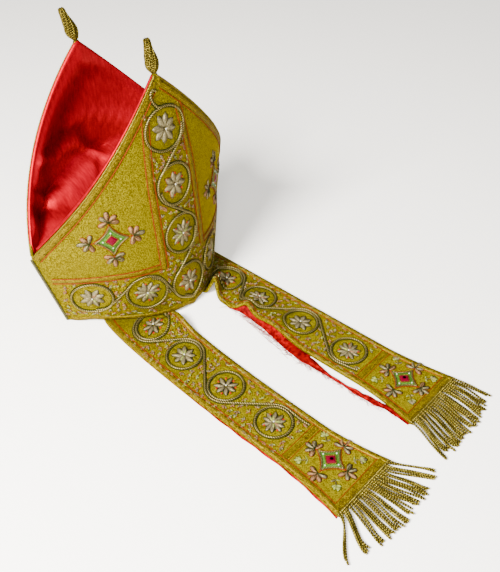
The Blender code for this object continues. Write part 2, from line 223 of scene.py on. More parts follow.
def lappetHalf(strap, share):
    flare = 1 - np.clip((1 - share) * lappetLength(strap) / lappets["flare"], 0, 1)
    return lappets["half"] + (lappets["endHalf"] - lappets["half"]) * flare**1.6


def lappetMiddle(strap, share):
    early = share ** lappets["bowEarly"]
    return strap["start"] + (strap["end"] - strap["start"]) * share + 4 * strap["bow"] * early * (1 - early)


def lappetHump(strap, share, across):
    raised = np.zeros_like(share)
    for along, aside, high, reach, spread in strap["humps"]:
        raised = raised + high * np.exp(-(((share - along) / reach) ** 2) - ((across - aside) / spread) ** 2)
    return raised * smooth(share / 0.03 - 1.1)


def lappetPlace(strap, s, t):  # share of the length and share of the half-width at a place
    across = -s / lappets["half"]
    for _ in range(3):
        begin = lappetBegin(strap, np.clip(across, -1, 1))
        share = np.clip(1 - t / (strap["endY"] - begin), 0, 1)
        across = -s / lappetHalf(strap, share)
    return share, across


def lappetFace(name):
    strap = lappets[name]

    def face(s, t):
        share, across = lappetPlace(strap, s, t)
        raised = lappetHump(strap, share, across)
        x = lappetMiddle(strap, share) - s - lappets["pull"] * raised * across
        z = lappets["silk"] + lappets["gap"] + lappets["band"] + raised
        return np.stack([x, strap["endY"] - t, z], -1)
    return face


faces = dict(
    back=shieldFace(1),
    front=shieldFace(-1),
    left=lappetFace("left"),
    right=lappetFace("right"),
)


def layOn(face, flat):  # puts flat work on a curved cloth: s and t along it, h off it
    step = 0.0004
    s, t, h = flat[:, 0], flat[:, 1], flat[:, 2]
    here = face(s, t)
    aside = face(s + step, t) - here
    up = face(s, t + step) - here
    out = np.cross(aside, up)
    out /= np.linalg.norm(out, axis=1)[:, None]
    return here + out * h[:, None]


# meshes
def newPiece(name, points, quads, finish, uv=None):
    mesh = bpy.data.meshes.new(name)
    mesh.from_pydata([tuple(p) for p in points], [], quads)
    mesh.shade_smooth()
    if uv is not None:
        layer = mesh.uv_layers.new(name="cloth")
        corner = np.zeros(len(mesh.loops), int)
        mesh.loops.foreach_get("vertex_index", corner)
        layer.data.foreach_set("uv", np.asarray(uv)[corner].astype(float).ravel())
    mesh.materials.append(finish)
    return putObject(name, mesh)


def gridQuads(rows, columns, first=0, turned=False):
    quads = []
    for i in range(rows - 1):
        for j in range(columns - 1):
            a = first + i * columns + j
            quad = (a, a + 1, a + columns + 1, a + columns)
            quads.append(quad[::-1] if turned else quad)
    return quads


def rimQuads(rows, columns, other):  # joins the borders of two grids that lie over each other
    loop = list(range(columns))
    loop += [i * columns + columns - 1 for i in range(1, rows)]
    loop += [(rows - 1) * columns + j for j in range(columns - 2, -1, -1)]
    loop += [i * columns for i in range(rows - 2, 0, -1)]
    return [(a, a + other, b + other, b) for a, b in zip(loop, loop[1:] + loop[:1])]


def gridNormals(grid):
    out = np.cross(np.gradient(grid, axis=1), np.gradient(grid, axis=0))
    return out / np.maximum(np.linalg.norm(out, axis=2), 1e-12)[:, :, None]


def sheetArea(grid):
    cells = np.cross(np.diff(grid, axis=0)[:, :-1], np.diff(grid, axis=1)[:-1])
    return float(np.linalg.norm(cells, axis=2).sum())


# closed rings of points over each other, with a foot below and a tip or a lid on top
def ringQuads(first, rings, count, tip=False):
    quads = [tuple(range(first, first + count))[::-1]]
    for k in range((rings - 1) * count):
        a, b = first + k, first + k - k % count + (k + 1) % count
        quads.append((a, b, b + count, a + count))
    last = first + (rings - 1) * count
    if tip:
        return quads + [(last + k, last + (k + 1) % count, last + count) for k in range(count)]
    return quads + [tuple(range(last, last + count))]


# s and t are grids of the same size, t rising from row to row and s from column to column
def clothSlab(name, face, s, t, thickness, finish):
    rows, columns = s.shape
    top = np.stack([s.ravel(), t.ravel(), np.zeros(s.size)], -1)
    low = top.copy()
    low[:, 2] = -thickness
    points = np.concatenate([layOn(face, top), layOn(face, low)])
    quads = gridQuads(rows, columns) + gridQuads(rows, columns, s.size, True)
    quads += rimQuads(rows, columns, s.size)
    return newPiece(name, points, quads, finish, np.concatenate([top[:, :2], low[:, :2]]))


def rideRoot(piece, slot, *nodes):
    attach(piece, "root")
    if nodes:
        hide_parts(*nodes)


# node trees
def socketOf(tree, name, kind, way="INPUT", value=None):
    made = tree.interface.new_socket(name=name, in_out=way, socket_type="NodeSocket" + kind)
    if value is not None:
        made.default_value = value


def feedNode(tree, node, feeds):  # a socket gets a link or a plain value
    for key, value in feeds.items():
        if isinstance(value, bpy.types.NodeSocket):
            tree.links.new(value, node.inputs[key])
        else:
            node.inputs[key].default_value = value
    return node


def addNode(tree, kind, feeds=None, **values):
    made = tree.nodes.new(kind)
    for key, value in values.items():
        setattr(made, key, value)
    return feedNode(tree, made, feeds or {})


def maths(tree, operation, *values, clamp=False):
    feeds = dict(enumerate(values))
    return addNode(tree, "ShaderNodeMath", feeds, operation=operation, use_clamp=clamp).outputs[0]


# materials
def makeWeaveGroup():  # threads across and along, with sparkling grains between them
    tree = bpy.data.node_groups.new("metalWeave", "ShaderNodeTree")
    socketOf(tree, "threadSize", "Float", value=0.0006)
    socketOf(tree, "slant", "Float", value=0.0)
    for name in ("height", "spark", "patches"):
        socketOf(tree, name, "Float", "OUTPUT")
    ins = addNode(tree, "NodeGroupInput").outputs
    place = addNode(tree, "ShaderNodeTexCoord").outputs
    across, up, _ = addNode(tree, "ShaderNodeSeparateXYZ", {0: place["UV"]}).outputs
    scale = maths(tree, "DIVIDE", 2 * math.pi, ins["threadSize"])
    along = maths(tree, "ADD", across, maths(tree, "MULTIPLY", up, ins["slant"]))
    warp = maths(tree, "SINE", maths(tree, "MULTIPLY", along, scale))
    weft = maths(tree, "SINE", maths(tree, "MULTIPLY", up, scale))
    grains = addNode(tree, "ShaderNodeTexVoronoi", {"Vector": place["Object"], "Scale": 1450}, feature="F1")
    shade = addNode(tree, "ShaderNodeSeparateColor", {0: grains.outputs["Color"]}).outputs
    big = addNode(tree, "ShaderNodeTexNoise", {"Vector": place["Object"], "Scale": 900, "Detail": 4})
    height = maths(tree, "ADD", maths(tree, "MULTIPLY", warp, weft), maths(tree, "MULTIPLY", shade[0], 0.8))
    addNode(tree, "NodeGroupOutput", dict(height=height, spark=shade[1], patches=big.outputs[0]))
    return tree


weave = makeWeaveGroup()
goldTint = (0.62, 0.48, 0.16)
redTint = (0.9, 0.03, 0.05)
rampShade = 0.78  # takes the colours of all ramps down


def startMaterial(name, roughness, metallic=0.0, gloss=0.12, tint=goldTint):
    made = bpy.data.materials.new(name)
    made.use_nodes = True
    tree = made.node_tree
    looks = {"Roughness": roughness, "Metallic": metallic, "Specular IOR Level": gloss,
             "Specular Tint": (*tint, 1)}
    return made, tree, feedNode(tree, tree.nodes["Principled BSDF"], looks)


def rampOf(tree, factor, stops):
    ramp = addNode(tree, "ShaderNodeValToRGB", {0: factor})
    while len(ramp.color_ramp.elements) < len(stops):
        ramp.color_ramp.elements.new(0.5)
    for element, (place, colour) in zip(ramp.color_ramp.elements, stops):
        element.position = place
        element.color = (*(rampShade * part for part in colour), 1)
    return ramp.outputs[0]


def bumpOf(tree, height, distance):
    return addNode(tree, "ShaderNodeBump", dict(Height=height, Distance=distance, Strength=1.0)).outputs[0]


def wovenMetal(name, stops, roughness, metallic, threadSize=0.0006, slant=0.0, bump=0.00012):
    made, tree, shader = startMaterial(name, roughness, metallic)
    sizes = dict(threadSize=threadSize, slant=slant)
    cloth = addNode(tree, "ShaderNodeGroup", sizes, node_tree=weave).outputs
    patches = maths(tree, "MULTIPLY", cloth["patches"], 0.2)
    mixed = maths(tree, "ADD", maths(tree, "MULTIPLY", cloth["spark"], 0.8), patches, clamp=True)
    rough = maths(tree, "ADD", roughness - 0.14, maths(tree, "MULTIPLY", cloth["spark"], 0.3), clamp=True)
    feedNode(tree, shader, {"Base Color": rampOf(tree, mixed, stops), "Roughness": rough,
                            "Normal": bumpOf(tree, cloth["height"], bump)})
    return made


goldStops = ((0.2, (0.060, 0.041, 0.0002)), (0.5, (0.145, 0.112, 0.0004)), (0.8, (0.34, 0.285, 0.002)))
braidStops = ((0.15, (0.045, 0.026, 0.0003)), (0.5, (0.105, 0.070, 0.0005)), (0.8, (0.265, 0.196, 0.006)))
goldCloth = wovenMetal("goldLame", goldStops, 0.52, 1.0)
braidGold = wovenMetal("braidGold", braidStops, 0.42, 0.6, 0.0011, 1.0, 0.00040)


def plainThread(name, dark, bright, roughness, metallic=0.0, groove=0.0, scale=900, tint=goldTint):
    made, tree, shader = startMaterial(name, roughness, metallic, tint=tint)
    place = addNode(tree, "ShaderNodeTexCoord").outputs["Object"]
    grain = addNode(tree, "ShaderNodeTexNoise", {"Vector": place, "Scale": scale, "Detail": 3}).outputs[0]
    factor = grain
    # painted shade and highlight: the crest attribute makes a cord's colour darker between its strands and
    # lighter on their crests
    if groove:  # the cords are dark between their strands
        crest = addNode(tree, "ShaderNodeAttribute", attribute_name="crest").outputs["Fac"]
        high = maths(tree, "MULTIPLY_ADD", crest, groove, 0.10 - groove / 2)
        factor = maths(tree, "ADD", grain, high, clamp=True)
    feedNode(tree, shader, {"Base Color": rampOf(tree, factor, ((0.35, dark), (0.65, bright))),
                            "Normal": bumpOf(tree, grain, 0.0002)})
    return made


# name, dark and bright colour, roughness, metallic, groove (how much painted shade falls between a cord's
# strands), scale of the grain, tint
threads = (
    ("cordSilver", (0.020, 0.014, 0.002), (0.31, 0.25, 0.085), 0.36, 0.7, 0.5),
    ("cordGold", (0.030, 0.018, 0.001), (0.34, 0.25, 0.03), 0.38, 0.8, 0.5),
    ("darkThread", (0.005, 0.008, 0.001), (0.022, 0.028, 0.004), 0.7),
    ("redThread", (0.06, 0.008, 0.0010), (0.26, 0.030, 0.004), 0.6, 0.0, 0.3),
    ("petalSilver", (0.065, 0.052, 0.018), (0.24, 0.20, 0.105), 0.42, 0.5),
    ("petalPink", (0.09, 0.040, 0.014), (0.28, 0.150, 0.070), 0.5, 0.3),
    ("petalGreen", (0.075, 0.095, 0.008), (0.28, 0.30, 0.07), 0.5, 0.2),
    ("lozengeGreen", (0.012, 0.050, 0.003), (0.06, 0.16, 0.016), 0.5),
    ("redDots", (0.17, 0.006, 0.002), (0.30, 0.016, 0.006), 0.5),
    ("beadPale", (0.40, 0.36, 0.27), (0.75, 0.72, 0.62), 0.25, 0.1),
    ("bullionGold", (0.016, 0.011, 0.0006), (0.20, 0.152, 0.022), 0.30, 0.9, 0.3),
    ("bullionDark", (0.014, 0.009, 0.001), (0.05, 0.036, 0.008), 0.6, 0.5),
    ("seamThread", (0.02, 0.02, 0.006), (0.11, 0.10, 0.045), 0.5, 0.4, 0.1),
    ("redSilk", (0.06, 0.0001, 0.0004), (0.24, 0.0004, 0.0014), 0.45, 0.3, 0.0, 260, redTint),
    ("silkThread", (0.10, 0.0003, 0.001), (0.24, 0.001, 0.002), 0.6, 0.0, 0.0, 900, redTint),
)
finishes = {row[0]: plainThread(*row) for row in threads}
redGlass, glassTree, glassShader = startMaterial("redGlass", 0.34, 0.0, 0.05, (0.45, 0.01, 0.04))
feedNode(glassTree, glassShader, {"Base Color": (0.075, 0.0004, 0.007, 1), "Coat Weight": 0.04})


def satinCloth():
    made, tree, shader = startMaterial("redSatin", 0.36, 0.55, 0.10, (0.9, 0.03, 0.06))
    place = addNode(tree, "ShaderNodeTexCoord").outputs["UV"]
    stretch = addNode(tree, "ShaderNodeVectorMath", {0: place, 1: (420, 90, 1)}, operation="MULTIPLY")
    ripples = {"Vector": stretch.outputs[0], "Scale": 1, "Detail": 2}
    moire = addNode(tree, "ShaderNodeTexNoise", ripples).outputs[0]
    # the fold attribute carries painted light and shade: the satin is lighter on its raised puffs and folds,
    # and darker in the valleys and along its edges
    fold = addNode(tree, "ShaderNodeAttribute", attribute_name="fold").outputs["Fac"]
    paintedLightAndShade = maths(tree, "MULTIPLY", fold, 0.55)
    mixed = maths(tree, "ADD", maths(tree, "MULTIPLY", moire, 0.45), paintedLightAndShade, clamp=True)
    stops = ((0.15, (0.11, 0.0001, 0.0018)), (0.5, (0.33, 0.0005, 0.0080)), (0.8, (0.64, 0.0016, 0.0200)))
    feedNode(tree, shader, {"Base Color": rampOf(tree, mixed, stops), "Normal": bumpOf(tree, moire, 0.00009)})
    return made


satin = satinCloth()


# gold shields
shield = dict(rows=84, columns=124)


def shieldGrid(side):
    share = np.linspace(0, 1, shield["rows"]) ** 0.9
    t = (mitre["peak"] * share)[:, None] * np.ones(shield["columns"])
    deep, half = sectionOf(side, t)
    seam = half * np.sqrt(1 - lappets["gap"] / 2 / deep)
    edge = np.minimum(seam, np.where(t > mitre["cleft"], hornHalf(t), seam))
    s = arcLength(edge, deep, half) * np.linspace(-1, 1, shield["columns"])
    return s, t


def makeShields():
    for name, side in (("back", 1), ("front", -1)):
        s, t = shieldGrid(side)
        made = clothSlab(f"{name}Shield", faces[name], s, t, mitre["wall"], goldCloth)
        rideRoot(made, "gold_cloth", f"{name}_shield")
    print("shields are up")


# lappets
strapCloth = dict(rows=160, columns=36)


def lappetGrid(name):
    strap = lappets[name]
    across = np.linspace(1, -1, strapCloth["columns"])
    begin = lappetBegin(strap, across)
    share = (1 - np.linspace(0, 1, strapCloth["rows"]))[:, None]
    t = (1 - share) * (strap["endY"] - begin)
    s = -across * lappetHalf(strap, share)
    return s, t


def makeLappets():
    for name in ("left", "right"):
        s, t = lappetGrid(name)
        made = clothSlab(f"{name}Lappet", faces[name], s, t, lappets["band"], goldCloth)
        rideRoot(made, "gold_cloth", f"lappet_{name}")
    print("lappets are laid out")


# crown lining
# folds run along points given by x in mm and by the share of the way from one horn to the other
crown = dict(
    clearance=0.0006, cloth=0.001, valley=0.112, rise=0.034, margin=0.006, puff=0.010, puffPlace=-0.55,
    puffReach=0.3, wallPart=0.5, rows=124, columns=144, turnOver=0.03, padding=0.0042,
    # painted light and shade on the satin: the raise at which it is painted fully lit, and the painted shade
    # along its edges
    foldShare=0.72, paintedLitRaise=0.0080, paintedEdgeShade=0.30,
    folds=(
        dict(line=((85, -0.96), (60, -0.63), (38, -0.59), (26, -0.565), (11, -0.515), (0, -0.375),
                   (-6, -0.26), (-22, -0.2)), height=0.0052, reach=0.0050),
        dict(line=((62, -0.72), (38, -0.68), (26, -0.65), (11, -0.61), (-2, -0.48), (-14, -0.38)),
             height=-0.0042, reach=0.0075),
        dict(line=((-50, -0.97), (-19, -0.9), (6, -0.825), (27, -0.79), (48, -0.73), (66, -0.68)),
             height=-0.0042, reach=0.016),
        dict(line=((21, -0.69), (-7, -0.66), (-33, -0.65), (-52, -0.62)), height=0.0030, reach=0.011),
        dict(line=((90, -0.93), (74, -0.745), (56, -0.565)), height=0.0013, reach=0.0020),
        dict(line=((93, -0.92), (75, -0.70), (56, -0.525)), height=0.0012, reach=0.0018),
        dict(line=((95, -0.90), (80, -0.715), (62, -0.515)), height=0.0010, reach=0.0018),
        dict(line=((-2, -0.265), (9, -0.205), (20, -0.10)), height=-0.0040, reach=0.0040),
        dict(line=((54, -0.48), (38, -0.445), (25, -0.39)), height=0.0030, reach=0.012),
        dict(line=((53, -0.215), (33, -0.23), (16, -0.245)), height=0.0034, reach=0.009),
        dict(line=((98, -0.70), (80, -0.295), (61, -0.18)), height=0.0026, reach=0.008),
        dict(line=((100, -0.90), (77, -0.44), (62, -0.29)), height=-0.0030, reach=0.005),
        dict(line=((107, -0.80), (88, -0.27), (72, -0.125)), height=-0.0050, reach=0.011),
    ),
)


def foldHeights(grid):
    total = np.zeros(grid.shape[:2])
    for fold in crown["folds"]:
        line = curvePath([(x * mm, at) for x, at in fold["line"]], 0.02)
        spots = crownPoints(line[:, 0], line[:, 1])
        gap = np.full(total.shape, 9.0)
        for spot in spots[:: max(len(spots) // 60, 1)]:
            gap = np.minimum(gap, np.linalg.norm(grid - spot, axis=-1))
        total += crown["foldShare"] * fold["height"] * np.exp(-((gap / fold["reach"]) ** 2))
    return total


def crownPoints(x, share):
    side = np.where(share >= 0, 1, -1)
    over = np.clip((np.abs(share) - 1) / crown["turnOver"], 0, 1)  # the hem turned over the horn's edge
    top = hornHeight(x) + 0.0008 * np.sin(math.pi / 2 * over)
    corner = 1 - np.abs(x) / (mitre["cleftHalf"] - crown["margin"])
    valley = mitre["cleft"] + (crown["valley"] - mitre["cleft"]) * smooth(2 * corner)
    meet = np.minimum(valley + crown["rise"] * smooth(1.5 * corner), top)
    inset = mitre["wall"] + crown["clearance"] + crown["cloth"] / 2 - over * 0.0026
    limit = 1 - crown["wallPart"]
    high = meet + (top - meet) * np.clip((np.abs(share) - limit) / (1 - limit), 0, 1)
    onWall = np.where(side > 0, shieldWall(1, x, high, inset), shieldWall(-1, x, high, inset))
    turn = np.clip(share / limit, -1, 1)
    low = valley + (meet - valley) * (1 - np.cos(math.pi / 2 * turn))
    foot = np.where(side > 0, shieldWall(1, x, meet, inset), shieldWall(-1, x, meet, inset))
    across = foot * np.abs(np.sin(math.pi / 2 * turn))
    swell = np.exp(-(((turn - crown["puffPlace"]) / crown["puffReach"]) ** 2))
    low = low + crown["puff"] * smooth(2 * corner) * swell * np.cos(math.pi / 2 * turn)
    wall = np.abs(share) >= limit
    return np.stack([x, np.where(wall, onWall, across), np.where(wall, high, low)], -1)


def makeCrownLining():
    rows, columns = crown["rows"], crown["columns"]
    reach = mitre["cleftHalf"] - crown["margin"]
    hem = 1 + crown["turnOver"]
    share = np.concatenate([[-hem, -(1 + hem) / 2], np.linspace(-1, 1, rows - 4), [(1 + hem) / 2, hem]])
    share = share[:, None] * np.ones(columns)
    x = reach * np.sin(math.pi / 2 * np.linspace(-1, 1, columns)) * np.ones((rows, 1))
    grid = crownPoints(x.ravel(), share.ravel()).reshape(rows, columns, 3)
    out = gridNormals(grid)
    facing = np.sign(out[rows // 2, columns // 2, 2])
    calm = smooth((1 - np.abs(share)) / 0.10) * smooth((reach - np.abs(x)) / 0.012)
    raised = np.maximum(crown["padding"] + foldHeights(grid), 0.0)
    grid = grid + facing * out * (raised * calm)[:, :, None]
    mid = grid.reshape(-1, 3)
    out = gridNormals(grid).reshape(-1, 3) * crown["cloth"] / 2
    quads = gridQuads(rows, columns) + gridQuads(rows, columns, rows * columns, True)
    quads += rimQuads(rows, columns, rows * columns)
    along = np.stack([x.ravel(), share.ravel() * 0.2], -1)
    points = np.concatenate([mid + out, mid - out])
    made = newPiece("crownLining", points, quads, satin, np.concatenate([along, along]))
    # painted light and shade: raised puffs and folds are painted lighter, the valleys between them darker,
    # and the edges take a fixed painted shade
    shade = (np.clip(raised / crown["paintedLitRaise"], 0, 1) * calm + crown["paintedEdgeShade"] * (1 - calm)).ravel()
    layer = made.data.attributes.new("fold", "FLOAT", "POINT")
    layer.data.foreach_set("value", np.concatenate([shade, shade]))
    rideRoot(made, "red_satin", "crown_lining")


# trees that grow threads along paths and set leaves on points
def startTree(name, **sizes):
    tree = bpy.data.node_groups.new(name, "GeometryNodeTree")
    socketOf(tree, "shape", "Geometry")
    socketOf(tree, "result", "Geometry", "OUTPUT")
    for size, (kind, value) in sizes.items():
        socketOf(tree, size, kind, value=value)
    socketOf(tree, "finish", "Material")
    return tree, addNode(tree, "NodeGroupInput").outputs


def endTree(tree, ins, geometry):
    real = addNode(tree, "GeometryNodeRealizeInstances", {0: geometry})
    finish = addNode(tree, "GeometryNodeSetMaterial", {0: real.outputs[0], "Material": ins["finish"]})
    addNode(tree, "NodeGroupOutput", {0: finish.outputs[0]})
    return tree


def named(tree, name, kind="FLOAT"):
    return addNode(tree, "GeometryNodeInputNamedAttribute", {"Name": name}, data_type=kind).outputs[0]


def curveFrom(tree, ins, flat):
    curve = addNode(tree, "GeometryNodeMeshToCurve", {0: ins["shape"]}).outputs[0]
    turned = addNode(tree, "GeometryNodeSetCurveNormal", {0: curve}, mode="Z_UP" if flat else "MINIMUM_TWIST")
    cut = {0: turned.outputs[0], "Length": ins["spacing"]}
    return addNode(tree, "GeometryNodeResampleCurve", cut, mode="LENGTH").outputs[0]


def makeCordTree(name, flat):  # twists a lobed section along each run of edges
    tree, ins = startTree(name, radius=("Float", 0.001), spacing=("Float", 0.0007),
                          turnsPerMetre=("Float", 250.0), grooveDepth=("Float", 0.25), strands=("Int", 2),
                          sides=("Int", 8))
    length = addNode(tree, "GeometryNodeSplineLength").outputs["Length"]
    turns = maths(tree, "ROUND", maths(tree, "MULTIPLY", length, ins["turnsPerMetre"]))
    done = maths(tree, "MULTIPLY", addNode(tree, "GeometryNodeSplineParameter").outputs["Factor"], turns)
    twist = {0: curveFrom(tree, ins, flat), "Tilt": maths(tree, "MULTIPLY", done, 2 * math.pi)}
    tilt = addNode(tree, "GeometryNodeSetCurveTilt", twist)
    circle = addNode(tree, "GeometryNodeCurvePrimitiveCircle",
                     dict(Resolution=ins["sides"], Radius=ins["radius"]))
    index = addNode(tree, "GeometryNodeInputIndex").outputs[0]
    around = maths(tree, "MULTIPLY", maths(tree, "DIVIDE", index, ins["sides"]), 2 * math.pi)
    crest = maths(tree, "COSINE", maths(tree, "MULTIPLY", around, ins["strands"]))
    here = addNode(tree, "GeometryNodeInputPosition").outputs[0]
    groove = maths(tree, "MULTIPLY", crest, ins["grooveDepth"])
    shift = addNode(tree, "ShaderNodeVectorMath", {0: here, "Scale": groove}, operation="SCALE")
    move = addNode(tree, "GeometryNodeSetPosition", {0: circle.outputs[0], "Offset": shift.outputs[0]})
    kept = {0: move.outputs[0], "Name": "crest", "Value": crest}
    store = addNode(tree, "GeometryNodeStoreNamedAttribute", kept, data_type="FLOAT", domain="POINT")
    sweep = {"Curve": tilt.outputs[0], "Profile Curve": store.outputs[0], "Fill Caps": True,
             "Scale": named(tree, "thick")}
    return endTree(tree, ins, addNode(tree, "GeometryNodeCurveToMesh", sweep).outputs[0])


def makeBraidTree():  # a flat band along each run, with a row of slanted stitches on it at every step
    tree, ins = startTree("braid", width=("Float", 0.006), spacing=("Float", 0.0016),
                          bandHeight=("Float", 0.0005), stitchHeight=("Float", 0.0006), row=("Object", None))
    curve = curveFrom(tree, ins, True)
    section = addNode(tree, "GeometryNodeCurvePrimitiveQuadrilateral",
                      dict(Width=ins["width"], Height=ins["bandHeight"]))
    band = addNode(tree, "GeometryNodeCurveToMesh",
                   {"Curve": curve, "Profile Curve": section.outputs[0], "Fill Caps": True})
    tangent = addNode(tree, "GeometryNodeInputTangent").outputs[0]
    turned = addNode(tree, "FunctionNodeAxesToRotation", {0: (0, 0, 1), 1: tangent},
                     primary_axis="Z", secondary_axis="X")
    row = addNode(tree, "GeometryNodeObjectInfo", {"Object": ins["row"]}).outputs["Geometry"]
    size = addNode(tree, "ShaderNodeCombineXYZ", {0: ins["spacing"], 1: ins["width"], 2: ins["stitchHeight"]})
    stitches = addNode(tree, "GeometryNodeInstanceOnPoints", dict(
        Points=curve, Instance=row, Rotation=turned.outputs[0], Scale=size.outputs[0]))
    both = addNode(tree, "GeometryNodeJoinGeometry", {0: band.outputs[0]})
    tree.links.new(stitches.outputs[0], both.inputs[0])
    return endTree(tree, ins, both.outputs[0])


def makeLeafTree():  # one leaf on each point, turned and sized as the point says
    tree, ins = startTree("leaves", leaf=("Object", None))
    shape = addNode(tree, "GeometryNodeObjectInfo", {"Object": ins["leaf"]}).outputs["Geometry"]
    turn = addNode(tree, "ShaderNodeCombineXYZ", {2: named(tree, "turn")}).outputs[0]
    rotation = addNode(tree, "FunctionNodeEulerToRotation", {0: turn}).outputs[0]
    points = addNode(tree, "GeometryNodeInstanceOnPoints", dict(
        Points=ins["shape"], Instance=shape, Rotation=rotation, Scale=named(tree, "size", "FLOAT_VECTOR")))
    return endTree(tree, ins, points.outputs[0])


trees = dict(
    flatCord=makeCordTree("flatCord", True),
    freeCord=makeCordTree("freeCord", False),
    braid=makeBraidTree(),
    leaves=makeLeafTree(),
)


def growPiece(name, treeName, seed, values, finish, face=None):
    holder = putObject(name + "Seed", seed)
    grow = holder.modifiers.new("grow", "NODES")
    grow.node_group = trees[treeName]
    values = dict(values, finish=finish)
    for item in grow.node_group.interface.items_tree:
        if item.in_out == "INPUT" and item.name in values:
            grow[item.identifier] = values[item.name]
    graph = bpy.context.evaluated_depsgraph_get()
    grown = holder.evaluated_get(graph)
    mesh = bpy.data.meshes.new_from_object(grown, preserve_all_data_layers=True, depsgraph=graph)
    bpy.data.objects.remove(holder)
    if face is not None:
        flat = np.empty(len(mesh.vertices) * 3)
        mesh.vertices.foreach_get("co", flat)
        mesh.vertices.foreach_set("co", layOn(face, flat.reshape(-1, 3)).ravel())
    mesh.name = name
    mesh.shade_smooth()
    mesh.update()
    return putObject(name, mesh)


# runs are dicts of a path, 2 or 3 wide, whether it closes, and how thick it is along its way
def runMesh(runs, height=0.0):
    points, edges, thick = [], [], []
    for run in runs:
        path = np.asarray(run["path"], float)
        if path.shape[1] == 2:
            path = np.column_stack([path, np.full(len(path), run.get("height", height))])
        first = len(points)
        points += [tuple(p) for p in path]
        edges += [(first + i, first + i + 1) for i in range(len(path) - 1)]
        if run.get("closed"):
            edges.append((first + len(path) - 1, first))
        thick += list(np.broadcast_to(run.get("thick", 1.0), len(path)))
    mesh = bpy.data.meshes.new("runs")
    mesh.from_pydata(points, edges, [])
    layer = mesh.attributes.new("thick", "FLOAT", "POINT")
    layer.data.foreach_set("value", np.asarray(thick, float))
    return mesh


# leaves are rows of s, t, height off the cloth, turn, length, width and thickness
def pointMesh(leaves):
    table = np.asarray(leaves, float)
    mesh = bpy.data.meshes.new("points")
    mesh.from_pydata([tuple(p) for p in table[:, :3]], [], [])
    mesh.attributes.new("turn", "FLOAT", "POINT").data.foreach_set("value", table[:, 3])
    mesh.attributes.new("size", "FLOAT_VECTOR", "POINT").data.foreach_set("vector", table[:, 4:7].ravel())
    return mesh


def shapeObject(name, points, faces):
    mesh = bpy.data.meshes.new(name)
    mesh.from_pydata(points, [], faces)
    return bpy.data.objects.new(name, mesh)


# a closed leaf from 0 to 1 along X: outline rows are x and half-width, ridge rows x and height
def leafObject(name, outline, ridge):
    rim = [(x, -wide, 0) for x, wide in outline] + [(x, wide, 0) for x, wide in reversed(outline) if wide > 0]
    count = len(rim)
    near = [count + int(np.argmin([abs(point[0] - x) for x, _ in ridge])) for point in rim]
    faces = []
    for i in range(count):
        j = (i + 1) % count
        faces.append((i, j, near[j]) if near[i] == near[j] else (i, j, near[j], near[i]))
    faces.append(tuple(range(count))[::-1])
    return shapeObject(name, rim + [(x, 0, high) for x, high in ridge], faces)


petalOutline = ((0.0, 0.10), (0.22, 0.34), (0.5, 0.5), (0.8, 0.30), (1.0, 0.0))
lobeOutline = ((0.0, 0.12), (0.3, 0.36), (0.65, 0.5), (0.9, 0.38), (1.0, 0.12))
leafRidge = ((0.15, 0.6), (0.5, 1.0), (0.85, 0.6))
leaf = dict(
    petal=leafObject("petal", petalOutline, leafRidge),
    lobe=leafObject("lobe", lobeOutline, leafRidge),
)


def toward(turn):
    return np.array([math.cos(turn), math.sin(turn)])


def domeObject(name, sides=8):
    rings = ((1.0, 0.0), (0.92, 0.5), (0.55, 0.88))
    points = [(*(0.5 * wide * toward(2 * math.pi * k / sides)), z) for wide, z in rings for k in range(sides)]
    return shapeObject(name, points + [(0, 0, 1)], ringQuads(0, len(rings), sides, True))


leaf["dome"] = domeObject("dome")
stitch = dict(long=0.30, wide=1.15, lean=2.8)


def rowObject():  # one row of a braid: four slanted stitches across a width of 1, one step of 1 long
    source = leaf["petal"].data
    points, faces = [], []
    for column, way in ((-0.375, 1), (-0.125, -1), (0.125, 1), (0.375, -1)):
        first = len(points)
        for vertex in source.vertices:
            x, y, z = vertex.co
            along = (x - 0.5) * stitch["long"]
            points.append((y * stitch["wide"] + way * along * stitch["lean"], column + along, z))
        faces += [tuple(first + k for k in face.vertices)[::-1] for face in source.polygons]
    return shapeObject("row", points, faces)


leaf["row"] = rowObject()


# drawing the embroidery flat
def arcPath(centre, radius, first, last, step=0.0011):
    count = max(int(abs(last - first) * radius / step), 3)
    angle = np.linspace(first, last, count)
    return np.column_stack([centre[0] + radius * np.cos(angle), centre[1] + radius * np.sin(angle)])


def ringRun(centre, radius):
    return dict(path=arcPath(centre, radius, 0, 2 * math.pi)[:-1], closed=True)


def offsetPath(path, aside):
    path = np.asarray(path, float)
    along = np.gradient(path[:, :2], axis=0)
    along /= np.maximum(np.linalg.norm(along, axis=1), 1e-9)[:, None]
    return path[:, :2] + aside * np.column_stack([-along[:, 1], along[:, 0]])


def curvePath(points, step=0.001):  # a smooth line through a few points
    points = np.asarray(points, float)
    ends = np.vstack([2 * points[0] - points[1], points, 2 * points[-1] - points[-2]])
    path = []
    for a, b, c, d in zip(ends, ends[1:], ends[2:], ends[3:]):
        count = max(int(np.linalg.norm(c - b) / step), 2)
        for u in np.linspace(0, 1, count, endpoint=False):
            path.append(0.5 * (2 * b + (c - a) * u + (2 * a - 5 * b + 4 * c - d) * u**2
                               + (3 * b - a - 3 * c + d) * u**3))
    path.append(points[-1])
    return np.array(path)


def levelPath(first, last, count, t):
    return np.column_stack([np.linspace(first, last, count), np.full(count, t)])


def meetAngle(before, after, side, radius, end):  # where the stem leaves a circle, with end 1, or comes to it
    way = after - before
    gap = np.linalg.norm(way)
    way = way / gap
    lean = math.asin(min(2 * radius / gap, 1))
    out = math.cos(lean) * side * np.array([-way[1], way[0]]) + end * math.sin(lean) * way
    return math.atan2(out[1], out[0])


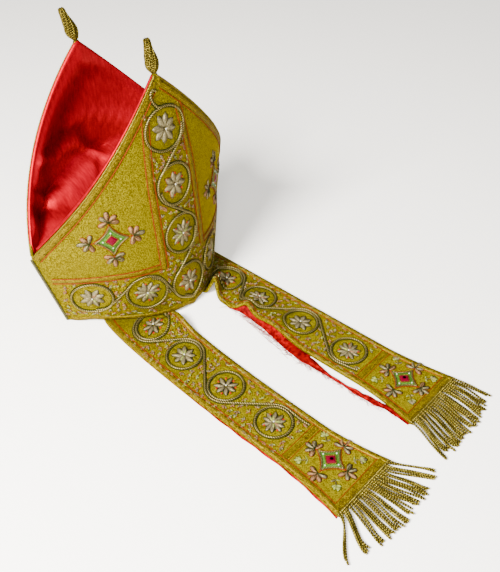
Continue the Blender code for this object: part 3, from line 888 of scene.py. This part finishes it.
# A stem that winds past circles, each on its own side; first and last are its angles at the ends.
# It also gives the rest of each circle, which runs on inside the stem at its end.
def vinePath(centres, sides, radius, first, last):
    path, rests = [], []
    for i, (centre, side) in enumerate(zip(centres, sides)):
        enter = meetAngle(centres[i - 1], centre, side, radius, -1) if i > 0 else first
        leave = meetAngle(centre, centres[i + 1], side, radius, 1) if i < len(centres) - 1 else last
        sweep = (leave - enter) % (2 * math.pi)
        if side > 0:
            sweep -= 2 * math.pi
        path.append(arcPath(centre, radius, enter, enter + sweep))
        turn = side * (2 * math.pi - abs(sweep) + 0.75)
        rest = arcPath((0, 0), 1.0, enter, enter + turn, 0.05)
        share = np.linspace(0, 1, len(rest))[:, None]
        rests.append(centre + rest * radius * (1 - 0.13 * smooth(share / 0.25 - 3.0)))
    return np.vstack(path), rests


def newWork():
    kinds = ("cords", "fine", "goldFine", "outlines", "piping", "braid", "narrowBraid", "pads")
    return dict({kind: [] for kind in kinds}, leaves={})


def lay(work, key, path, **more):
    work[key].append(dict(path=path, **more))


def putLeaf(work, kind, finish, s, t, height, turn, length, width, thickness):
    work["leaves"].setdefault((kind, finish), []).append((s, t, height, turn, length, width, thickness))


def outlinedLeaf(work, kind, finish, edge, s, t, turn, length, width, thickness, border=0.0006):
    back = (s - border * math.cos(turn) * 0.6, t - border * math.sin(turn) * 0.6)
    putLeaf(work, kind, edge, *back, 0.0, turn, length + 1.6 * border, width + 2 * border, thickness * 0.6)
    putLeaf(work, kind, finish, s, t, 0.0002, turn, length, width, thickness)


flowerKinds = dict(
    star=dict(petals=8, length=10.4, width=5.5),
    dotted=dict(petals=7, length=10.4, width=4.6, dots=7),
    leafy=dict(petals=8, length=10.8, width=5.2, second=6),
    full=dict(petals=10, length=10.6, width=4.4, second=8, dots=4),
    reddish=dict(petals=7, length=10.6, width=5.6, dots=6, edge="redThread"),
)


def flower(work, centre, kind, chance, scale):
    look = dict(second=0, dots=0, edge="darkThread", heart=1.3 * mm) | flowerKinds[kind]
    first = chance.uniform(0, 6.28)
    for k in range(look["petals"]):
        turn = first + 2 * math.pi * k / look["petals"] + chance.uniform(-0.09, 0.09)
        start = centre + look["heart"] * toward(turn)
        length = look["length"] * mm * scale * chance.uniform(0.9, 1.05) - look["heart"]
        outlinedLeaf(work, "petal", "petalSilver", look["edge"], *start, turn, length,
                     look["width"] * mm * scale, 1.1 * mm)
    for k in range(look["second"]):
        turn = first + 2 * math.pi * (k + 0.5) / look["second"] + chance.uniform(-0.2, 0.2)
        finish = chance.choice(("petalSilver", "petalSilver", "petalPink", "petalGreen"))
        outlinedLeaf(work, "petal", finish, "redThread" if k % 2 else "darkThread", *centre, turn,
                     6.6 * mm * scale, 2.8 * mm * scale, 1.6 * mm, 0.0004)
    for k in range(look["dots"]):
        turn = first + 2 * math.pi * (k + 0.5) / look["dots"]
        putLeaf(work, "dome", "redDots", *(centre + 8.0 * mm * scale * toward(turn)), 0.0, turn,
                2.6 * mm, 2.2 * mm, 0.9 * mm)
    putLeaf(work, "dome", "beadPale", *centre, 0.0012, 0.0, 1.8 * mm, 1.8 * mm, 0.9 * mm)


def sprig(work, place, turn, chance, scale, choices):  # a bud of small lobes on a short stalk
    root = place - 4.2 * mm * scale * toward(turn)
    lay(work, "fine", curvePath([root, place]), height=0.0003)
    for swing in (-1.15, -0.55, 0.0, 0.55, 1.15):
        way = turn + swing + chance.uniform(-0.12, 0.12)
        long = (4.4 - abs(swing)) * mm * scale
        outlinedLeaf(work, "lobe", chance.choice(choices), "darkThread", *place, way, long, 2.1 * mm * scale,
                     0.8 * mm, 0.00035)
    for swing in (-2.2, 2.2):
        putLeaf(work, "petal", chance.choice(choices), *root, 0.0002, turn + swing * 0.5, 3.4 * mm * scale,
                1.5 * mm * scale, 0.6 * mm)


lozenge = dict(reach=17.0, waist=5.0, height=0.0011)


def lozengePath(centre, scale, grow=0.0, steps=8):
    reach, waist = lozenge["reach"] * mm * scale + grow * 1.5, lozenge["waist"] * mm * scale + grow
    path = []
    for k in range(4):
        a, b = toward(math.pi / 2 * k), toward(math.pi / 2 * (k + 1))
        for u in np.linspace(0, 1, steps, endpoint=False):
            path.append((1 - u) ** 2 * a * reach + 2 * u * (1 - u) * (a + b) * waist + u**2 * b * reach)
    return np.array(path) + centre


def cross(work, centre, chance, scale=1.0):  # a concave green lozenge with a five-lobed fan on each tip
    outline = lozengePath(centre, scale)
    work["pads"].append(dict(centre=centre, outline=outline))
    lay(work, "fine", outline, closed=True, height=0.0008, thick=1.35)
    lay(work, "piping", lozengePath(centre, scale, 1.3 * mm), closed=True, height=0.0003, thick=0.8)
    setting = centre + 6.9 * mm * np.array([(1, 0), (0, 1), (-1, 0), (0, -1)])
    lay(work, "goldFine", setting, closed=True, height=0.0010)
    for k in range(4):
        turn = math.pi / 2 * k
        way = toward(turn)
        root = centre + way * (22.5 if k % 2 == 0 else 21.5) * mm * scale
        lay(work, "piping", curvePath([centre + way * 16 * mm * scale, root]), height=0.0004)
        for swing in (-104, -52, 0, 52, 104):
            aim = turn + math.radians(swing) + chance.uniform(-0.08, 0.08)
            finish = "petalPink" if chance.random() < 0.4 else "petalSilver"
            long = (12.6 if swing == 0 else 10.8) * mm * scale
            outlinedLeaf(work, "lobe", finish, "redThread" if swing else "darkThread", *root, aim, long,
                         5.4 * mm * scale, 1.2 * mm, 0.0005)
            tip = root + 6.4 * mm * scale * toward(aim)
            lay(work, "outlines", curvePath([root, tip]), height=0.0014, thick=0.8)
        bead = centre + way * 9.0 * mm
        putLeaf(work, "dome", "beadPale", *bead, 0.0010, 0.0, 1.5 * mm, 1.5 * mm, 1.0 * mm)


def ring(work, centre, radius):
    work["cords"].append(ringRun(centre, radius * mm))
    for aside in (-1.6, 1.5):
        work["outlines"].append(dict(ringRun(centre, (radius + aside) * mm), height=0.0003))


def stem(work, path):
    lay(work, "cords", path, height=0.0010)
    for aside in (-1.55, 1.55):
        lay(work, "outlines", offsetPath(path, aside * mm), height=0.0003)


# strews small trefoils of leaves where inside says so, clear of the rings and of the stems
def fillFree(work, inside, rounds, keepOut, chance, gap=6.2 * mm, tries=5000):
    taken = np.vstack([line["path"] for line in work["cords"]])[::2]
    placed = np.array([[9.0, 9.0]])
    finishOf = ("petalSilver", "petalPink", "petalSilver", "petalPink", "petalGreen")
    for _ in range(tries):
        spot = np.array(inside(chance))
        near = min(rounds, key=lambda centre: np.hypot(*(spot - centre)))
        if np.hypot(*(spot - near)) < keepOut or np.linalg.norm(taken - spot, axis=1).min() < 3.6 * mm:
            continue
        if np.linalg.norm(placed - spot, axis=1).min() < gap:
            continue
        placed = np.vstack([placed, spot])
        turn = math.atan2(spot[1] - near[1], spot[0] - near[0]) + chance.uniform(-1.1, 1.1)
        for swing in (-0.95, 0.0, 0.95):
            finish, edge = chance.choice(finishOf), chance.choice(("darkThread", "redThread"))
            outlinedLeaf(work, "lobe", finish, edge, *spot, turn + swing, chance.uniform(3.4, 4.4) * mm,
                         1.9 * mm, 0.9 * mm, 0.0003)
        lay(work, "piping", curvePath([spot - 2.6 * mm * toward(turn), spot]), height=0.0002, thick=0.6)


shieldDesign = dict(
    rounds=(
        (0.0, 212.5, "star"),
        (0.0, 152.5, "reddish"),
        (0.0, 94.8, "full"),
        (0.0, 33.0, "reddish"),
        (-51.5, 38.0, "full"),
        (-110.0, 38.0, "leafy"),
        (51.5, 38.0, "leafy"),
        (110.0, 38.0, "full"),
    ),
    hook=((-3.0, 251.5), (-6.6, 253.5), (-9.4, 249.5), (-8.4, 242.5), (-4.5, 236.0)),
    crosses=((-78.8, 115.6), (78.8, 115.6)),
    titulus=((63.0, 28.8), (150.0, 28.8), (190.0, 26.4), (231.0, 21.5)),
    circulus=66.5,
    braidWidth=6.8,
    stemRadius=22.0,
)


# a line along one edge of a horn, some way inside it; side is the sign of s
def edgePath(side, aside, first=0.103, last=0.2665, count=150):
    t = np.linspace(first, last, count)
    deep, half = sectionOf(1, t)
    path = np.column_stack([side * arcLength(hornHalf(t), deep, half), t])
    path = offsetPath(path, aside * side)
    return path[path[:, 0] * side > 0.002]


def shieldWork(seed):
    chance = random.Random(seed)
    work = newWork()
    design = shieldDesign
    places = [np.array((s, t)) * mm for s, t, _ in design["rounds"]]
    for place, (_, t, kind) in zip(places, design["rounds"]):
        flower(work, place, kind, chance, 1.55 if t > 200 else 1.46)
    reach = design["stemRadius"] * mm
    down, rests = vinePath(places[:4], (1, -1, 1, -1), reach, math.radians(92), math.radians(-75))
    for rest in rests:
        stem(work, rest)
    stem(work, np.vstack([curvePath(np.array(design["hook"]) * mm), down]))
    row = [places[k] for k in (5, 4, 3, 6, 7)]
    over, rests = vinePath(row, (-1, 1, -1, 1, -1), reach, math.radians(120), math.radians(60))
    for k in (0, 1, 3, 4):
        stem(work, rests[k])
    stem(work, over)
    for line in work["cords"] + work["outlines"]:  # the top ring is wider than it is tall
        widen = 1 + 0.15 * smooth((line["path"][:, 1] - 0.184) / 0.012)
        line["path"] = line["path"] * np.column_stack([widen, np.ones(len(widen))])
    for place in design["crosses"]:
        cross(work, np.array(place) * mm, chance)
    tall = np.array(design["titulus"]) * mm

    def inBands(chance):
        if chance.random() < 0.5:
            t = chance.uniform(8.0, 232.0) * mm
            reach = float(np.interp(t, tall[::-1, 0], tall[::-1, 1])) - 6.0 * mm
            return chance.uniform(-reach, reach), t
        return chance.uniform(-142.0, 142.0) * mm, chance.uniform(9.0, 60.0) * mm

    fillFree(work, inBands, places, (design["stemRadius"] + 3.4) * mm, chance)
    for side in (-1, 1):
        line = curvePath(np.column_stack([tall[:, 1] * side, tall[:, 0]]), 0.002)
        lay(work, "braid", line)
        beside = (design["braidWidth"] / 2 + 0.7) * mm
        for aside in (-beside, beside):
            lay(work, "piping", offsetPath(line, aside), height=0.0004)
        lay(work, "braid", edgePath(side, 4.4 * mm))
        lay(work, "piping", edgePath(side, 9.2 * mm), height=0.0004)
        lay(work, "goldFine", edgePath(side, 0.5 * mm), height=0.0003, thick=1.2)
        first, last = 32.0 * mm * side, 147.0 * mm * side
        lay(work, "narrowBraid", levelPath(first, last, 60, design["circulus"] * mm))
        for aside in (-3.4, 3.6):
            lay(work, "piping", levelPath(first, last, 60, (design["circulus"] + aside) * mm), height=0.0004)
    lay(work, "narrowBraid", levelPath(-138 * mm, 138 * mm, 140, 3.6 * mm))
    return work


lappetDesign = dict(
    left=dict(
        rounds=((1.5, 292.0, "dotted"), (0.0, 236.0, "leafy"), (1.5, 174.0, "dotted"), (0.5, 108.0, "full")),
        sides=(-1, 1, -1, 1), first=105, last=-10, tail=((20.5, 90.0), (21.0, 80.0)),
        cross=(2.8, 40.0), panelTop=69.0, seed=31,
    ),
    right=dict(
        rounds=((1.5, 277.0, "reddish"), (1.0, 226.5, "leafy"), (0.5, 167.0, "star"), (0.0, 102.0, "full")),
        sides=(1, -1, 1, -1), first=75, last=200, tail=((-19.5, 88.0), (-17.0, 79.0)),
        cross=(4.4, 36.0), panelTop=67.0, seed=47,
    ),
    braidWidth=5.2,
    piping=6.4,
    endBand=8.6,
    stemRadius=21.4,
    ringRadius=18.6,
)


# a line along a side of a lappet; aside is the distance in from its edge, signed by its side
def lappetEdge(name, aside, first=0.0, last=0.333, count=180):
    strap = lappets[name]
    t = np.linspace(first, last, count)
    half = lappetHalf(strap, np.clip(1 - t / lappetLength(strap), 0, 1))
    return np.column_stack([np.sign(aside) * (half - abs(aside)), t])


def lappetWork(name):
    design = lappetDesign[name]
    chance = random.Random(design["seed"])
    work = newWork()
    centres = [np.array((s, t)) * mm for s, t, _ in design["rounds"]]
    for centre, (_, _, kind) in zip(centres, design["rounds"]):
        ring(work, centre, lappetDesign["ringRadius"])
        flower(work, centre, kind, chance, 1.25)
    vine, _ = vinePath(centres, design["sides"], lappetDesign["stemRadius"] * mm,
                       math.radians(design["first"]), math.radians(design["last"]))
    tail = np.array(design["tail"]) * mm
    stem(work, np.vstack([vine, curvePath(np.vstack([vine[-1], tail]))]))

    def inVine(chance):
        return chance.uniform(-27.0, 27.0) * mm, chance.uniform(design["panelTop"] + 14.0, 306.0) * mm

    fillFree(work, inVine, centres, (lappetDesign["ringRadius"] + 3.6) * mm, chance, 6.4 * mm)
    centre = np.array(design["cross"]) * mm
    cross(work, centre, chance, 0.88)
    for turn in map(math.radians, (48, 132, 228, 312)):
        place = centre + 27.5 * mm * toward(turn)
        sprig(work, place, turn, chance, 1.5, ("petalGreen", "petalSilver", "petalGreen"))
    wide = lappetDesign["braidWidth"] * mm
    end = lappetDesign["endBand"] * mm
    inner = lappetDesign["piping"] * mm
    for side in (-1, 1):
        lay(work, "narrowBraid", lappetEdge(name, side * (wide / 2 + 0.5 * mm), 0.001))
        lay(work, "piping", lappetEdge(name, side * inner, end), height=0.0004, thick=0.8)
    low = lappetEdge(name, inner, end)[0][0]
    lay(work, "piping", curvePath([(-low, end), (low, end)], 0.004), height=0.0004, thick=0.8)
    reach = lappetEdge(name, 5.8 * mm, 0.001)[0][0]
    lay(work, "braid", levelPath(-reach, reach, 60, 4.3 * mm))
    bar = design["panelTop"] * mm
    half = lappetEdge(name, inner, bar)[0][0]
    lay(work, "narrowBraid", levelPath(-half, half, 40, bar + 4.2 * mm))
    for lift in (0.0, 8.4 * mm):
        lay(work, "piping", levelPath(-half, half, 40, bar + lift), height=0.0004, thick=0.8)
    return work


def addPads(name, work, face):  # the green lozenges, each a closed low pillow
    points, quads = [], []
    high = lozenge["height"]
    rings = ((1.0, -0.0001), (0.93, 0.45 * high), (0.6, 0.9 * high), (0.3, high))
    for pad in work["pads"]:
        centre, outline = pad["centre"], pad["outline"]
        quads += ringQuads(len(points), len(rings), len(outline), True)
        for share, up in rings:
            points += [(*(centre + (p - centre) * share), up) for p in outline]
        points.append((*centre, high))
    made = newPiece(f"{name}Lozenges", layOn(face, np.array(points)), quads, finishes["lozengeGreen"])
    rideRoot(made, "gold_thread")


def stitchOn(name, face, work):
    cord = dict(radius=0.00102, spacing=0.00075, turnsPerMetre=210.0, grooveDepth=0.22, strands=2, sides=8)
    fine = dict(cord, radius=0.0007, turnsPerMetre=330.0, sides=6)
    outline = dict(cord, radius=0.0005, spacing=0.0015, grooveDepth=0.0, sides=5)
    piping = dict(cord, radius=0.00052, turnsPerMetre=300.0, sides=6)
    jobs = (
        ("Cords", "cords", "cordSilver", cord, 0.0009),
        ("FineCords", "fine", "cordSilver", fine, 0.0004),
        ("EdgeCords", "goldFine", "cordGold", fine, 0.0004),
        ("Outlines", "outlines", "darkThread", outline, 0.0003),
        ("Piping", "piping", "redThread", piping, 0.0004),
    )
    for label, key, finish, sizes, height in jobs:
        made = growPiece(name + label, "flatCord", runMesh(work[key], height), sizes, finishes[finish], face)
        rideRoot(made, "gold_thread")
    braids = (("Braid", "braid", shieldDesign["braidWidth"] * mm), ("EdgeBraid", "narrowBraid", 0.0050))
    for label, key, width in braids:
        sizes = dict(width=width, spacing=0.0017, bandHeight=0.0009, stitchHeight=0.0008, row=leaf["row"])
        made = growPiece(name + label, "braid", runMesh(work[key], 0.0001), sizes, braidGold, face)
        rideRoot(made, "gold_thread")
    for (kind, finish), rows in work["leaves"].items():
        label = name + kind.capitalize() + finish[0].upper() + finish[1:]
        made = growPiece(label, "leaves", pointMesh(rows), dict(leaf=leaf[kind]), finishes[finish], face)
        rideRoot(made, "gold_thread")
    addPads(name, work, face)
    print("embroidered", name)


# fringes: twisted strands in a dozen locks, from a head along the lappet's end
fringes = dict(
    left=dict(tips=((150, 406), (131, 412), (115, 417), (104, 419), (95, 420), (85, 421), (74, 420),
                    (63, 419), (53, 420), (45, 418), (30, 416), (22, 411)), seed=5),
    right=dict(tips=((3, 412), (-6, 408), (-13, 412), (-21, 413), (-29, 412), (-37, 413), (-46, 412),
                     (-54, 412), (-62, 410), (-71, 409), (-81, 407), (-91, 404)), seed=8),
    strands=4, spread=0.0018, radius=0.00102,
)


def fringeRuns(name):
    look, strap = fringes[name], lappets[name]
    chance = random.Random(look["seed"])
    tips = look["tips"]
    runs = []
    for k, (tipX, tipY) in enumerate(tips):
        rootX = strap["end"] + lappets["endHalf"] * (1 - 2 * (k + 0.5) / len(tips))
        outer = k in (0, len(tips) - 1)
        count = 2 if outer else fringes["strands"] + (k % 2)
        for j in range(count):
            aside = (j - (count - 1) / 2)
            startX = rootX - aside * 2 * lappets["endHalf"] / len(tips) / count
            endX = tipX * mm - aside * fringes["spread"] * chance.uniform(0.6, 1.3) + chance.gauss(0, 0.0008)
            endY = tipY * mm + chance.uniform(-0.0028, 0.0014)
            startY = strap["endY"] - 0.0012
            lift = chance.choice((0.0, 0.0, 0.0006, 0.0013))
            bend = chance.gauss(0, 0.0016)
            path = []
            for u in np.linspace(0, 1, 26):
                drift = 0.35 * u + 0.65 * smooth(u) ** 1.1
                x = startX + (endX - startX) * drift + bend * math.sin(math.pi * u)
                y = startY + (endY - startY) * u
                z = 0.0017 + 0.0022 * (1 - u) ** 2 + lift * math.sin(math.pi * min(u * 1.2, 1))
                path.append((x, y, z + 0.0003 * math.sin(9 * u + k)))
            runs.append(dict(path=np.array(path)))
    return runs


def makeFringe(name):
    strap = lappets[name]
    sizes = dict(radius=fringes["radius"], spacing=0.0008, turnsPerMetre=210.0, grooveDepth=0.34,
                 strands=2, sides=8)
    runs = fringeRuns(name)
    reach = lappets["endHalf"] - 0.0008
    for lift, y in ((0.0022, 0.0012), (0.0034, 0.0002)):
        x = np.linspace(strap["end"] - reach, strap["end"] + reach, 30)
        head = np.column_stack([x, np.full(30, strap["endY"] + y), np.full(30, lift)])
        runs.append(dict(path=head, thick=1.3))
    made = growPiece(name + "Fringe", "freeCord", runMesh(runs), sizes, finishes["bullionGold"])
    rideRoot(made, "gold_thread", f"fringe_{name}")


# finials: a drop of wound thread on each peak
finial = dict(
    length=0.034, radius=0.006,
    lean=dict(back=math.radians(8), front=math.radians(19)), leanTo=(0.656, -0.755, 0.0),
    profile=((0.0, 0.30), (0.06, 0.52), (0.15, 0.84), (0.25, 0.98), (0.35, 1.0), (0.50, 0.84), (0.66, 0.62),
             (0.82, 0.50), (0.93, 0.46), (1.0, 0.26)),
    thread=0.0009, turns=15, ribs=7, coreSides=14,
)


def aroundAxis(reach, angle, z):
    return np.column_stack([reach * np.cos(angle), reach * np.sin(angle), z * np.ones(len(angle))])


def makeFinial(name, side):
    lean = finial["lean"][name]
    foot = finial["radius"] * finial["profile"][0][1]
    seat = mitre["peak"] + lappets["gap"] + foot * math.sin(lean)
    y = float(shieldWall(side, np.array(0.0), np.array(mitre["peak"]), mitre["wall"] / 2))
    turn = Matrix.Rotation(lean, 4, Vector((0, 0, 1)).cross(Vector(finial["leanTo"])))
    place = np.array(Matrix.Translation((0, y, seat)) @ turn)

    def seated(points):
        return points @ place[:3, :3].T + place[:3, 3]

    ups, wides = zip(*finial["profile"])
    share = np.linspace(0, 1, finial["turns"] * 18)
    wide = finial["radius"] * np.interp(share, ups, wides) - finial["thread"] * 0.5
    angle = 2 * math.pi * finial["turns"] * share
    winding = aroundAxis(wide, angle, finial["length"] * (0.01 + 0.97 * share))
    runs = [dict(path=seated(winding))]
    for k in range(finial["ribs"]):
        rib = np.linspace(0.02, 0.99, 30)
        out = finial["radius"] * np.interp(rib, ups, wides) + 0.0003
        bend = 2 * math.pi * k / finial["ribs"] + 1.7 * rib
        runs.append(dict(path=seated(aroundAxis(out, bend, finial["length"] * rib)), thick=0.8))
    sizes = dict(radius=finial["thread"], spacing=0.0007, turnsPerMetre=330.0, grooveDepth=0.3,
                 strands=2, sides=8)
    made = growPiece(name + "Finial", "freeCord", runMesh(runs), sizes, finishes["bullionGold"])
    rideRoot(made, "gold_thread", f"finial_{name}")
    angle = 2 * math.pi * np.arange(finial["coreSides"]) / finial["coreSides"]
    core = [aroundAxis(max(finial["radius"] * wide - 0.0007, 0.0004), angle, finial["length"] * up)
            for up, wide in finial["profile"]]
    quads = ringQuads(0, len(core), len(angle))
    inner = newPiece(name + "FinialCore", seated(np.vstack(core)), quads, finishes["bullionDark"])
    rideRoot(inner, "gold_thread", f"finial_{name}")


# side seams: a cord up each one
def makeSeamCords():
    radius = 0.0015
    aside = radius * 0.6
    for name, side in (("left", 1), ("right", -1)):
        low = np.array([side * (mitre["rimHalf"] + aside), 0, radius * 0.95])
        high = np.array([side * (mitre["cleftHalf"] + aside * 0.3), 0, mitre["cleft"] - 0.001])
        path = low + (high - low) * np.linspace(0, 1, 40)[:, None]
        sizes = dict(radius=radius, spacing=0.0009, turnsPerMetre=200.0, grooveDepth=0.25, strands=2,
                     sides=10)
        run = runMesh([dict(path=path)])
        made = growPiece(name + "SeamCord", "freeCord", run, sizes, finishes["seamThread"])
        rideRoot(made, "seam_cord", f"seam_cord_{name}")


# red silk under the lappets
silkBack = dict(rows=150, columns=16, thick=0.0006, spill=0.015)
silkRows = ((0.00, 0.0, 0.02), (0.12, 0.0, 0.06), (0.20, 0.0, -0.16), (0.26, 0.0, -0.16), (0.36, 0.0, 0.12),
            (0.44, 0.0, 0.48), (0.50, 0.0, 0.70), (0.55, 0.0, 0.86), (0.60, 0.18, 0.66), (0.67, 0.50, 0.30),
            (0.74, 0.54, 0.26), (0.80, 0.40, 0.46), (0.86, 0.14, 0.58), (0.90, 0.0, 0.45), (0.95, 0.0, 0.22),
            (1.00, 0.0, 0.12))


def sheetFrom(name, grid, thick, finish, uv):
    rows, columns = grid.shape[:2]
    out = gridNormals(grid).reshape(-1, 3)
    flipped = out[:, 2].mean() < 0
    out = -out if flipped else out
    mid = grid.reshape(-1, 3)
    points = np.concatenate([mid + out * thick / 2, mid - out * thick / 2])
    count = rows * columns
    quads = gridQuads(rows, columns, 0, not flipped) + gridQuads(rows, columns, count, flipped)
    rim = rimQuads(rows, columns, count)
    quads += rim if flipped else [q[::-1] for q in rim]
    return newPiece(name, points, quads, finish, np.concatenate([uv, uv]))


# the silk on a lappet's back, which follows the band's own rise; show is how far it stands out
def underLappet(name, show):
    strap = lappets[name]
    across = np.linspace(-0.97, 1.0, silkBack["columns"])
    share = np.linspace(0, 1, silkBack["rows"])[:, None] * np.ones(silkBack["columns"])
    begin = lappetBegin(strap, across)
    raised = lappetHump(strap, share, across * np.ones_like(share))
    x = lappetMiddle(strap, share) + across * lappetHalf(strap, share) - lappets["pull"] * raised * across
    x = x + np.where(across > 0.93, show(share), 0)
    return np.stack([x, begin + (strap["endY"] - begin) * share, 0.0006 + raised], -1)


def flatUv(grid):
    return grid[..., :2].reshape(-1, 2)


def makeLinings():
    def leftShow(share):
        return 0.0002 + 0.0015 * smooth((share - 0.35) / 0.3) * (0.75 + 0.25 * np.sin(share * 70))

    for name, show in (("left", leftShow), ("right", lambda share: 0 * share - 0.0012)):
        grid = underLappet(name, show)
        made = sheetFrom(name + "Lining", grid, silkBack["thick"], finishes["redSilk"], flatUv(grid))
        rideRoot(made, "red_silk", f"lining_{name}")
        print(name, "lining", round(sheetArea(grid), 4))


# the loose silk's inner and outer edges beside the right lappet, and how high its inner edge hangs
def silkEdge(u):
    strap = lappets["right"]
    along, slot, strip = (np.array(column) for column in zip(*silkRows))
    ones = np.ones_like(u)
    begin = lappetBegin(strap, ones)
    edge = lappetMiddle(strap, u) + lappetHalf(strap, u)
    raised = lappetHump(strap, u, ones)
    gapWide = np.interp(u, along, slot) * silkBack["spill"]
    reach = np.interp(u, along, slot + strip) * silkBack["spill"]
    inner = np.where(gapWide > 0.0004, edge + gapWide, edge - lappets["pull"] * raised - 0.002)
    y = begin + (strap["endY"] - begin) * u
    return inner, edge + reach, y, np.where(gapWide > 0.0004, 0.0, raised)


def makeLooseSilk():
    rows, columns = 260, 9
    u = np.linspace(0.15, 0.995, rows)
    inner, outer, y, raised = silkEdge(u)
    chance = random.Random(3)
    waves = [(chance.uniform(20, 90), chance.uniform(0, 6.28), chance.uniform(0.3, 1.0)) for _ in range(5)]
    wave = sum(size * np.sin(rate * u + phase) for rate, phase, size in waves) / 3
    width = np.maximum(outer - inner, 0.0016)
    grid = np.zeros((rows, columns, 3))
    loose = smooth((u - 0.5) / 0.08) * smooth((0.95 - u) / 0.05)
    for j, share in enumerate(np.linspace(0, 1, columns)):
        grid[:, j, 0] = inner + width * share + 0.0006 * wave * share
        grid[:, j, 1] = y + 0.0008 * wave * share
        fall = (1 - share) ** 1.5
        roll = 0.0019 * loose * np.abs(np.sin(5.0 * share + 2.2 * wave))
        ripple = 0.0011 * np.abs(np.sin(3.4 * share + 1.8 * wave)) * (1 - fall)
        grid[:, j, 2] = 0.0006 + raised * fall + ripple + roll
    made = sheetFrom("looseSilk", grid, 0.00045, finishes["redSilk"], flatUv(grid))
    rideRoot(made, "red_silk", "lining_right")

    hairs = []
    for _ in range(230):
        place = chance.betavariate(1.3, 1.6) * 0.97
        k = int(place * (rows - 1))
        start = np.array([outer[k] - 0.001, y[k], 0.0008])
        aim = chance.gauss(0.25, 0.5) if chance.random() < 0.8 else chance.uniform(-1, 2.5)
        long = chance.uniform(0.003, 0.013) * (1.3 if place < 0.5 else 0.7)
        bend = chance.gauss(0, 1.4)
        path = [start]
        for step in range(7):
            turn = aim + bend * step / 7
            stride = long / 7
            last = path[-1]
            path.append(last + np.array([math.cos(turn) * stride * 0.55, math.sin(turn) * stride * 1.5,
                                         chance.uniform(-0.0001, 0.00012)]))
        path = np.array(path)
        path[:, 2] = np.maximum(path[:, 2], 0.0003)
        hairs.append(dict(path=path))
    for k in range(7):
        first = 0.16 + 0.02 * k
        run = np.linspace(first, first + chance.uniform(0.15, 0.38), 30)
        _, far, alongY, _ = silkEdge(run)
        drift = 0.0008 + 0.0009 * k + 0.0008 * np.sin(run * 40 + k)
        hairs.append(dict(path=np.column_stack([far + drift, alongY, np.full(30, 0.0005)]), thick=1.3))
    sizes = dict(radius=0.00013, spacing=0.0016, turnsPerMetre=1.0, grooveDepth=0.0, strands=1, sides=4)
    fray = growPiece("silkFray", "freeCord", runMesh(hairs), sizes, finishes["silkThread"])
    rideRoot(fray, "red_silk")


stoneBed = dict(reach=6.0, height=1.5, waist=0.66, notch=0.72)


def makeStoneBeds(name, face, centres):  # a low cut diamond of red glass round each stone
    points, quads = [], []
    for centre in centres:
        quads += ringQuads(len(points), 3, 8)
        for up, wide in ((-0.2, 1.0), (0.4, 1.0), (1.0, stoneBed["waist"])):
            high = up * stoneBed["height"] * mm + 0.0006
            for k in range(8):
                reach = stoneBed["reach"] * wide * (1.0 if k % 2 == 0 else stoneBed["notch"]) * mm
                points.append((*(centre + reach * toward(math.pi / 4 * k)), high))
    made = newPiece(f"{name}StoneBeds", layOn(face, np.array(points)), quads, redGlass)
    made.data.shade_flat()
    rideRoot(made, "red_glass")


def dressStones():
    for name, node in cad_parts.items():
        if name.startswith("stone_"):
            for slotOf in node.material_slots:
                slotOf.material = redGlass


# stage
def makeStage():
    mesh = bpy.data.meshes.new("table")
    mesh.from_pydata([(-9, -9, 0), (9, -9, 0), (9, 9, 0), (-9, 9, 0)], [], [(0, 1, 2, 3)])
    finish, tree, shader = startMaterial("paleTable", 0.75)
    feedNode(tree, shader, {"Base Color": (0.93, 0.90, 0.845, 1), "Emission Color": (1.0, 0.975, 0.93, 1),
                            "Emission Strength": 0.34})
    mesh.materials.append(finish)
    putObject("table", mesh)


makeCamera()
makeLights()
makeStage()
makeShields()
makeLappets()
makeCrownLining()
works = dict(back=shieldWork(11), front=shieldWork(12), left=lappetWork("left"), right=lappetWork("right"))
for name, work in works.items():
    stitchOn(name, faces[name], work)
makeFringe("left")
makeFringe("right")
makeFinial("back", 1)
makeFinial("front", -1)
makeSeamCords()
makeLinings()
makeLooseSilk()
for name, work in works.items():
    makeStoneBeds(name, faces[name], [pad["centre"] for pad in work["pads"]])
dressStones()
